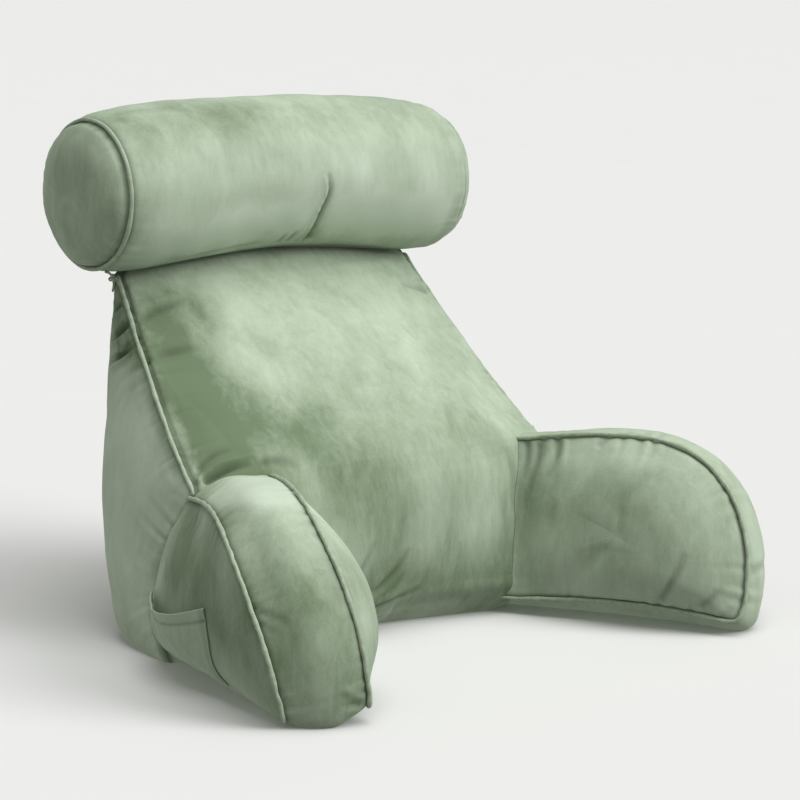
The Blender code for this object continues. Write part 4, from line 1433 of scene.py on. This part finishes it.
    def build(self, cutters: Sequence[bpy.types.Object]) -> bpy.types.Object:
        """Fill the arm, press in its seams and creases, and trim it round its neighbours.

        Args:
            cutters: swollen copies of the backrest and its piping.

        Returns:
            The arm's cover.
        """
        shell = self.shell()
        height = shell.rings[..., 2]
        lines = [self.inner_line(), self.outer_line()]
        distance = apart(shell, [line.spaced(0.005) for line in lines], 0.2)
        edge = clamp(distance / self.free_from) * clamp(height / self.free_above)
        held = (distance < self.held_within) | (height < self.held_floor)
        seed = 50 + 10 * self.side.value
        relief = self.stuffed(shell, edge, held, seed)
        for number, line in enumerate(lines):
            Seam(line.spaced(STITCH), seed + 2 + number, gather=0.0012).press(relief)
        self.mark(relief)
        relief.fade_at_floor()
        cover = relief.finished("arm_cover_" + self.side.word)
        trimmed(cover, cutters)
        return cover

    def dress(self, cover: bpy.types.Object, cloth: bpy.types.Material) -> None:
        """Give the arm its cloth."""
        put(cover, "arm_" + self.side.word, cloth)

    def piping(self, cord: bpy.types.Material, cutters: Sequence[bpy.types.Object]) -> None:
        """The cords of both seams, cut where they run into the backrest."""
        outward = tuple(float(v) for v in self.axes()[2])
        for name, line in (("inner", self.inner_line()), ("outer", self.outer_line())):
            smooth = line.spaced(0.0026).softened(3)
            welt = tube("piping_arm_" + name + "_" + self.side.word, smooth, WELT_RADIUS, outward,
                        wobble=0.13, seed=70 + self.side.value + len(name), taper=0.002)
            trimmed(welt, cutters[:1])
            put(welt, "welt_arm_" + name + "_" + self.side.word, cord)


@dataclass
class Bolster(Cushion):
    """The filled neck roll: a barrel turned about its length, whose ends hang a little, with two
    crowned caps and a ring of piping round each."""

    radius: float = 0.1002
    end_radius: float = 0.0872
    rounding: float = 10.0
    arch: float = 0.0098
    press: float = 0.014
    press_fall: float = 1.3
    half_length: float = 0.2583
    cap_crown: float = 0.0310
    y: float = 0.1293
    z: float = 0.5200
    start_smaller: float = 0.0015
    free_from: float = 0.024
    free_above: float = 0.010       # over the lowest line
    held_within: float = 0.006
    swells: Pairs = ((0.13, 0.0011), (0.06, 0.0006))
    sunk: float = 0.0018        # how deep the right ring lies in the cloth
    # the roll's underside where it lies on the ridge: a line of painted contact shadow
    painted_contact_shadow: tuple[Point, ...] = (
        (-0.232, 0.119, 0.418), (-0.168, 0.109, 0.4275), (-0.093, 0.107, 0.4335),
        (-0.009, 0.107, 0.4365), (0.083, 0.106, 0.4345), (0.191, 0.114, 0.420))
    filling: Filling = Filling(coarser=4, most=0.005, slack=0.003)

    def profile(self) -> tuple[Array, Array]:
        """Half outline: the radius and the place along X, from one cap's middle to the other's.

        The barrel's radius falls as |x|^rounding towards its ends; a cap stands proud by
        cap_crown (1 - q^3)^0.5, where q is its radius as a share of the seam's.
        """
        q = np.linspace(0.04, 1, 31) ** 0.8
        inner = self.end_radius - WELT_LEG
        cap_r, cap_x = inner * q, self.half_length + self.cap_crown * (1 - q ** 3) ** 0.5
        t = np.linspace(-1, 1, 231)
        run = (0.72 * t + 0.28 * np.sin(t * math.pi / 2)) * (self.half_length - WELT_LEG)
        barrel = self.radius - (self.radius - self.end_radius) * np.abs(run / run[-1]) ** self.rounding
        return (np.concatenate((cap_r, barrel, cap_r[::-1])),
                np.concatenate((-cap_x, run, cap_x[::-1])))

    def settled(self, points: Array) -> Array:
        """Points lowered by arch s^2, where s = |x| / half length, and those under the axis
        raised by press (1 - s^press_fall) d^1.5, where d is the depth as a share of the radius."""
        share = np.abs(points[..., 0]) / self.half_length
        below = np.clip(self.z - points[..., 2], 0, None) / self.radius
        lift = self.press * np.clip(1 - share ** self.press_fall, 0, None) * below ** 1.5
        moved = points.copy()
        moved[..., 2] += lift - self.arch * share ** 2
        return moved

    def shell(self) -> Shell:
        """The profile turned about the axis."""
        radius, along = self.profile()
        angle = np.linspace(0, 2 * math.pi, 280, endpoint=False)
        rings = np.stack((np.broadcast_to(along[:, None], (len(along), len(angle))),
                          self.y + radius[:, None] * np.cos(angle),
                          self.z + radius[:, None] * np.sin(angle)), axis=2)
        return Shell(self.settled(rings))

    def ring(self, side: Side) -> Line:
        """The seam round one cap."""
        angle = np.linspace(0, 2 * math.pi, 200, endpoint=False)
        points = np.stack((np.full(len(angle), side.value * self.half_length),
                           self.y + self.end_radius * np.cos(angle),
                           self.z + self.end_radius * np.sin(angle)), axis=1)
        return Line(self.settled(points))

    def creases(self) -> list[Crease]:
        """The folds of the roll."""
        low, ridge = Fold.TROUGH, Fold.RIDGE
        return folds((
            # knots, fold, depth, width, lip, fade in, fade out
            (((20, 30, 530), (23.5, 30, 518), (25.5, 30, 507), (22, 34, 492), (18, 40, 477),
              (18, 50, 466), (19, 64, 454), (21, 83, 442)), low, 7.2, 3.1, -0.5, 0.6, 0.03),
            (((17, 36, 487), (10, 42, 476), (6, 52, 465), (3, 66, 453)), ridge, 1.8, 3.6, 0, 0.4, 0.3),
            (((-4, 58, 458), (-3, 70, 450), (-1, 85, 442)), low, 2.8, 2.6, 0.4, 0.4, 0.1),
            (((-16, 62, 455), (-15, 74, 448), (-14, 86, 442)), low, 2.2, 2.6, 0.4, 0.4, 0.1),
            (((-245, 110, 604), (-205, 104, 610), (-157, 92, 608), (-120, 75, 600)),
             low, 1.4, 7, 0.4, 0.1, 0.7),
            (((-180, 90, 437), (-120, 84, 440), (-40, 80, 444)), low, 1.6, 6, 0.3, 0.3, 0.3),
            (((150, 210, 480), (110, 222, 510), (90, 224, 540)), low, 2.4, 6, 0.5, 0.1, 0.6),
            (((-90, 205, 470), (-60, 220, 500), (-50, 224, 530)), low, 2.2, 6, 0.5, 0.1, 0.6),
        ))

    def brushing_and_painted_light(self) -> list[NapAndLightPatch]:
        """Where the pile of the roll has been brushed light or deep, and where light and shade are
        painted on it.
        """
        return nap_and_light_patches((
            # knots, reach, lightness
            (((-230, 70, 595), (-100, 55, 597)), 40, -0.22),
            (((-100, 75, 605), (200, 75, 605)), 50, -0.12),
            # painted light on the roll's lower front
            (((-200, 60, 460), (-120, 45, 470), (200, 45, 470)), 40, 0.5),
            # painted shade along the roll's crease
            (((24, 34, 492), (23, 50, 466), (26, 70, 450)), 11, -0.46),
            (((-190, 40, 540),), 50, 0.04),
            (((-285, 100, 500), (-285, 150, 560)), 60, -0.2),
            (((60, 35, 520), (200, 35, 520)), 60, 0.06),
        ))

    def build(self, cutters: Sequence[bpy.types.Object]) -> bpy.types.Object:
        """Fill the roll, press in its seams and creases, and trim it round the ridge under it.
        The seam of its right cap gets no painted shade, and the cloth puffs over it; a painted contact
        shadow darkens it where it lies on the ridge.

        Args:
            cutters: the swollen copy of the backrest.

        Returns:
            The roll's cover.
        """
        shell = self.shell()
        loops = [self.ring(side).points for side in Side]
        rings = [Line(np.concatenate((loop, loop[:1]))) for loop in loops]
        distance = apart(shell, [ring.spaced(0.006) for ring in rings], 0.3)
        height = shell.rings[..., 2]
        under = clamp((height - height.min(axis=1, keepdims=True) - 0.001) / self.free_above)
        edge = clamp(distance / self.free_from) * under
        held = (distance < self.held_within) | (under < 0.4)
        relief = self.stuffed(shell, edge, held, 91)
        for number, ring in enumerate(rings):
            Seam(ring.spaced(STITCH), 93 + number, dip=0.0002, puff=0.0012 + 0.0030 * number,
                 gather=0.0008, reach=0.016, shade=0.9 * (1 - number)).press(relief)
        # painted contact shadow where the roll lies on the ridge
        shadow(self.painted_contact_shadow, 96, 1.0, 0.011).press(relief)
        self.mark(relief)
        cover = relief.finished("bolster_cover")
        trimmed(cover, cutters)
        return cover

    def dress(self, cover: bpy.types.Object, cloth: bpy.types.Material) -> None:
        """Give the roll its cloth."""
        put(cover, "bolster", cloth)

    def piping(self, side: Side, cord: bpy.types.Material) -> None:
        """The ring of cord round one cap; the right one lies a little sunk in the cloth."""
        sunk = self.sunk if side is Side.RIGHT else 0.0
        points = self.ring(side).points * (1 - sunk / self.half_length, 1, 1)
        middle = points.mean(axis=0)
        narrower = 1 - sunk / self.end_radius
        line = Line(middle + (points - middle) * (1, narrower, narrower))
        welt = tube("piping_bolster_" + side.word, line, WELT_RADIUS, (1.0, 0.0, 0.0),
                    closed=True, wobble=0.06, seed=97 + side.value)
        put(welt, "welt_bolster_" + side.word, cord)


@dataclass
class Pocket:
    """The patch pocket on the left arm's outer panel: one sheet, sewn at its sides and foot, that
    stands open at its hemmed mouth. Corners are (along the arm, up the panel)."""

    sheet: float = 0.0018
    lift: float = 0.0009
    gape: float = 0.019
    mouth_rear: tuple[float, float] = (-0.034, 0.121)
    mouth_front: tuple[float, float] = (0.162, 0.139)
    base_rear: tuple[float, float] = (0.006, 0.056)
    base_front: tuple[float, float] = (0.159, 0.047)
    sag: float = 0.008
    across: int = 73
    upward: int = 49
    width: float = 0.18
    sewn_height: float = 0.07
    hem_height: float = 0.075
    edge_stitch: float = 0.0035     # from the sewn edges to their stitching
    hem_stitch: float = 0.0115      # from the mouth to the hem's stitching
    # width of the painted shade along the stitching
    stitch_shade_width: float = 0.0016

    def places(self, wide: Array, high: Array) -> Array:
        """Where each point lies on the panel, (along, up): straight between the foot's and the
        mouth's corners, with the mouth sagging by sag sin(pi w)."""
        ends = []
        for rear, front in ((self.base_rear, self.base_front), (self.mouth_rear, self.mouth_front)):
            ends.append((1 - wide)[..., None] * np.array(rear) + wide[..., None] * np.array(front))
        base, mouth = ends
        mouth[..., 1] -= self.sag * np.sin(math.pi * wide)
        return base + (mouth - base) * high[..., None]

    def cast(self, places: Array, arm: Arm, cover: bpy.types.Object) -> Array:
        """The places cast onto the arm's cover along the arm's inward direction."""
        forward, up, outward = arm.axes()
        foot = np.array((arm.side.value * arm.foot[0], arm.foot[1], 0.0))
        body = bmesh.new()
        body.from_mesh(cover.data)
        panel = BVHTree.FromBMesh(body)
        body.free()
        start = foot + places[..., :1] * forward + places[..., 1:] * up + 0.4 * outward
        hits = [panel.ray_cast(Vector(point), Vector(-outward))[0] for point in start.reshape(-1, 3)]
        return np.array([tuple(hit) for hit in hits]).reshape(start.shape)

    def build(self, arm: Arm, cover: bpy.types.Object) -> bpy.types.Object:
        """Lay the sheet on the arm, sewn down at its sides and foot.

        Over the panel it stands by lift + gape b^0.8 (0.55 + 0.6 w) h^1.1, where w is the share
        across the pocket, b = sin(pi w) and h the share up it. It is a little fuller away from
        the sewn edges, thicker in its hem, and dips along its stitching, which also gets painted shade.

        Args:
            arm: the arm that it is sewn to.
            cover: that arm's cover.

        Returns:
            The pocket's sheet.
        """
        outward = arm.axes()[2]
        wide, high = np.meshgrid(np.linspace(0, 1, self.across), np.linspace(0, 1, self.upward))
        on = self.cast(self.places(wide, high), arm, cover)
        bow = np.sin(math.pi * wide)
        raised = self.lift + self.gape * bow ** 0.8 * (0.55 + 0.6 * wide) * high ** 1.1
        edge = np.minimum(np.minimum(wide, 1 - wide) * self.width, high * self.sewn_height)
        raised += (0.0022 * (1 - bell(edge, 0.006))
                   - 0.0006 * bell(edge - self.edge_stitch, 0.0012))
        hem = (1 - high) * self.hem_height
        raised += (0.0009 * np.exp(-(hem / 0.009) ** 4)
                   - 0.0007 * bell(hem - self.hem_stitch, 0.0013))
        raised += 0.0008 * uneven(on, 0.030, 131) * clamp(edge / 0.01)
        points = on + raised[..., None] * outward
        at = np.arange(self.across * self.upward).reshape(self.upward, self.across)
        quads = np.stack((at[:-1, :-1], at[:-1, 1:], at[1:, 1:], at[1:, :-1]), axis=2).reshape(-1, 4)
        normal = np.cross(points[0, 1] - points[0, 0], points[1, 0] - points[0, 0])
        if normal @ outward < 0:
            quads = quads[:, ::-1]
        # painted shade along the stitching
        hollow = sum(0.5 * bell(far - stitch, self.stitch_shade_width)
                     for far, stitch in ((edge, self.edge_stitch), (hem, self.hem_stitch)))
        thing = make_object("pocket_patch", points.reshape(-1, 3), quads.tolist(), hollow.ravel())
        wall = thing.modifiers.new("Wall", "SOLIDIFY")
        wall.thickness = self.sheet
        wall.offset = 1.0
        return thing

    def dress(self, patch: bpy.types.Object, cloth: bpy.types.Material) -> None:
        """Give the pocket its cloth."""
        put(patch, "pocket", cloth)


@dataclass
class Tie:
    """A short cord between the roll's end and the backrest's top corner, knotted in its middle."""

    side: Side
    radius: float = 0.0014
    corner: Point = (0.2249, 0.1120, 0.400)
    knot_at: Point = (0.0004, -0.0005, 0.0005)      # from the route's third step
    knot_size: float = 0.0015
    knot_tilt: tuple[float, float] = (0.9, 1.2)     # about Y and X, in radians

    @property
    def route(self) -> tuple[Point, ...]:
        """Steps from the corner: outward, backward and upward."""
        if self.side is Side.LEFT:
            return ((0.0040, 0.014, -0.006), (0.0034, 0.012, 0.002), (0.0066, 0.009, 0.0105),
                    (0.0140, 0.005, 0.0178), (0.0225, 0.002, 0.0204))
        return ((0.0018, 0.026, -0.008), (0.0016, 0.027, 0.001), (0.0052, 0.030, 0.0110),
                (0.0130, 0.036, 0.0194), (0.0225, 0.044, 0.0237))

    def build(self, cord: bpy.types.Material) -> None:
        """The cord along its route, and a knot: the trefoil (sin t + 2 sin 2t, cos t - 2 cos 2t,
        -1.1 sin 3t) times knot_size, tilted."""
        corner = np.array(self.corner)
        flip = np.array((self.side.value, 1, 1))
        knots = [tuple((corner + np.array(step)) * flip) for step in self.route]
        line = Line.through(knots, 0.0012)
        tie = tube("tie_cord_" + self.side.word, line, self.radius, (0.0, 1.0, 0.0), sides=10,
                   wobble=0.05, seed=141, taper=0.001)
        put(tie, "tie_" + self.side.word, cord)
        middle = (corner + np.array(self.route[2]) + np.array(self.knot_at)) * flip
        t = np.linspace(0, 2 * math.pi, 97)[:-1]
        loop = self.knot_size * np.stack((np.sin(t) + 2 * np.sin(2 * t), np.cos(t) - 2 * np.cos(2 * t),
                                          -1.1 * np.sin(3 * t)), axis=1)
        about_y, about_x = self.knot_tilt
        tilt = np.array(Matrix.Rotation(about_y * self.side.value, 3, "Y")
                        @ Matrix.Rotation(about_x, 3, "X"))
        knot = tube("tie_knot_" + self.side.word, Line(middle + loop @ tilt.T), self.radius * 0.95,
                    (0.31, 0.84, 0.44), closed=True, sides=10, wobble=0.05, seed=143)
        knot.data.materials.append(cord)
        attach(knot, "root")


@dataclass
class Studio:
    """A pale floor, soft light and the camera.

    The camera's place and its three turns, in radians, were solved from the photo's seams. Sky,
    key, top and fill are the strengths of the even sky and of the three suns.
    """

    place: Point = (-1.92018, -2.34945, 0.74950)
    azimuth: float = -0.7132
    elevation: float = 0.1603
    roll: float = 0.0086
    lens: float = 114.27
    sky: float = 0.30
    key: float = 1.95
    top: float = 1.60
    fill: float = 0.25
    floor_size: float = 600.0
    floor_below: float = 0.0002

    def camera(self) -> None:
        """The camera, turned by its azimuth about Z, its elevation and its roll."""
        a, e, r = self.azimuth, self.elevation, self.roll
        right = np.array((math.cos(a), math.sin(a), 0.0))
        up = np.array((-math.sin(a) * math.sin(e), math.cos(a) * math.sin(e), math.cos(e)))
        ahead = np.array((-math.sin(a) * math.cos(e), math.cos(a) * math.cos(e), -math.sin(e)))
        turned = math.cos(r) * right + math.sin(r) * up
        upright = -math.sin(r) * right + math.cos(r) * up
        data = bpy.data.cameras.new("camera")
        data.lens = self.lens
        data.sensor_width = 36.0
        data.clip_end = 2000.0
        view = linked("camera", data)
        view.matrix_world = Matrix(np.column_stack((turned, upright, -ahead)).tolist()).to_4x4()
        view.location = self.place
        bpy.context.scene.camera = view

    def floor(self) -> None:
        """A wide pale plane just under the pillow."""
        corners = np.array(((-1, -1, 0), (1, -1, 0), (1, 1, 0), (-1, 1, 0)), float) * self.floor_size
        corners[:, 2] = -self.floor_below
        plane = make_object("floor", corners, [(0, 1, 2, 3)])
        plane.data.materials.append(Paper().made())
        plane.visible_diffuse = False
        plane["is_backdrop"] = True

    def sun(self, name: str, toward: Point, angle: float, power: float,
            colour: tuple[float, float, float]) -> None:
        """One soft distant light, which shines from the direction that it is toward."""
        data = bpy.data.lights.new(name, "SUN")
        data.angle = angle
        data.energy = power
        data.color = colour
        light = linked(name, data)
        light.rotation_mode = "QUATERNION"
        light.rotation_quaternion = Vector(toward).to_track_quat("Z", "Y")

    def light(self) -> None:
        """A soft key from the right, a softer light from above, a weak fill and an even sky."""
        world = bpy.data.worlds.new("studio")
        world.use_nodes = True
        back = world.node_tree.nodes["Background"]
        back.inputs["Color"].default_value = (0.98, 1.0, 0.93, 1.0)
        back.inputs["Strength"].default_value = self.sky
        bpy.context.scene.world = world
        bpy.context.scene.view_settings.view_transform = "Standard"
        for name, toward, degrees, power, colour in (
                ("key", (0.42, -0.72, 0.55), 35, self.key, (1.0, 0.995, 0.985)),
                ("top", (0.05, -0.22, 0.97), 50, self.top, (1.0, 1.0, 1.0)),
                ("fill", (-0.90, -0.20, 0.38), 60, self.fill, (1.0, 0.98, 0.95))):
            self.sun(name, toward, math.radians(degrees), power, colour)


def write_sizes() -> None:
    """Log how far the dressed pillow's box reaches past the solids' box, in millimetres."""
    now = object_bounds()
    grown = [[round(1000 * (b - a), 1) for a, b in zip(was, new)] for was, new in zip(CAD_BOX, now)]
    LOG.info("visual box against the solids', mm: low %s, high %s", *grown)


def main() -> None:
    """Build the studio and every piece of the pillow, in order."""
    logging.basicConfig(level=logging.INFO, format="%(message)s")
    studio = Studio()
    studio.camera()
    studio.floor()
    studio.light()
    cloth = Velvet("sage_velvet").made()
    piping = Cord("piping_cloth").made()
    string = Cord("tie_string", (0.16, 0.21, 0.14, 1.0), (0.46, 0.50, 0.40, 1.0)).made()
    backrest = Backrest()
    cover = backrest.build()
    backrest.dress(cover, cloth)
    room = swollen(cover, "backrest_room", CLEARANCE)
    arms = {}
    for side in Side:
        welt = backrest.piping(side, piping)
        welt_room = swollen(welt, "welt_room_" + side.word, CLEARANCE)
        arm = Arm(side)
        arms[side] = arm.build([room, welt_room])
        arm.dress(arms[side], cloth)
        arm.piping(piping, [room, welt_room])
        bpy.data.objects.remove(welt_room)
    bolster = Bolster()
    bolster.dress(bolster.build([room]), cloth)
    for side, finish in ((Side.LEFT, piping), (Side.RIGHT, cloth)):
        bolster.piping(side, finish)
        Tie(side).build(string)
    pocket = Pocket()
    pocket.dress(pocket.build(Arm(Side.LEFT), arms[Side.LEFT]), cloth)
    bpy.data.objects.remove(room)
    write_sizes()


if __name__ == "__main__":
    main()
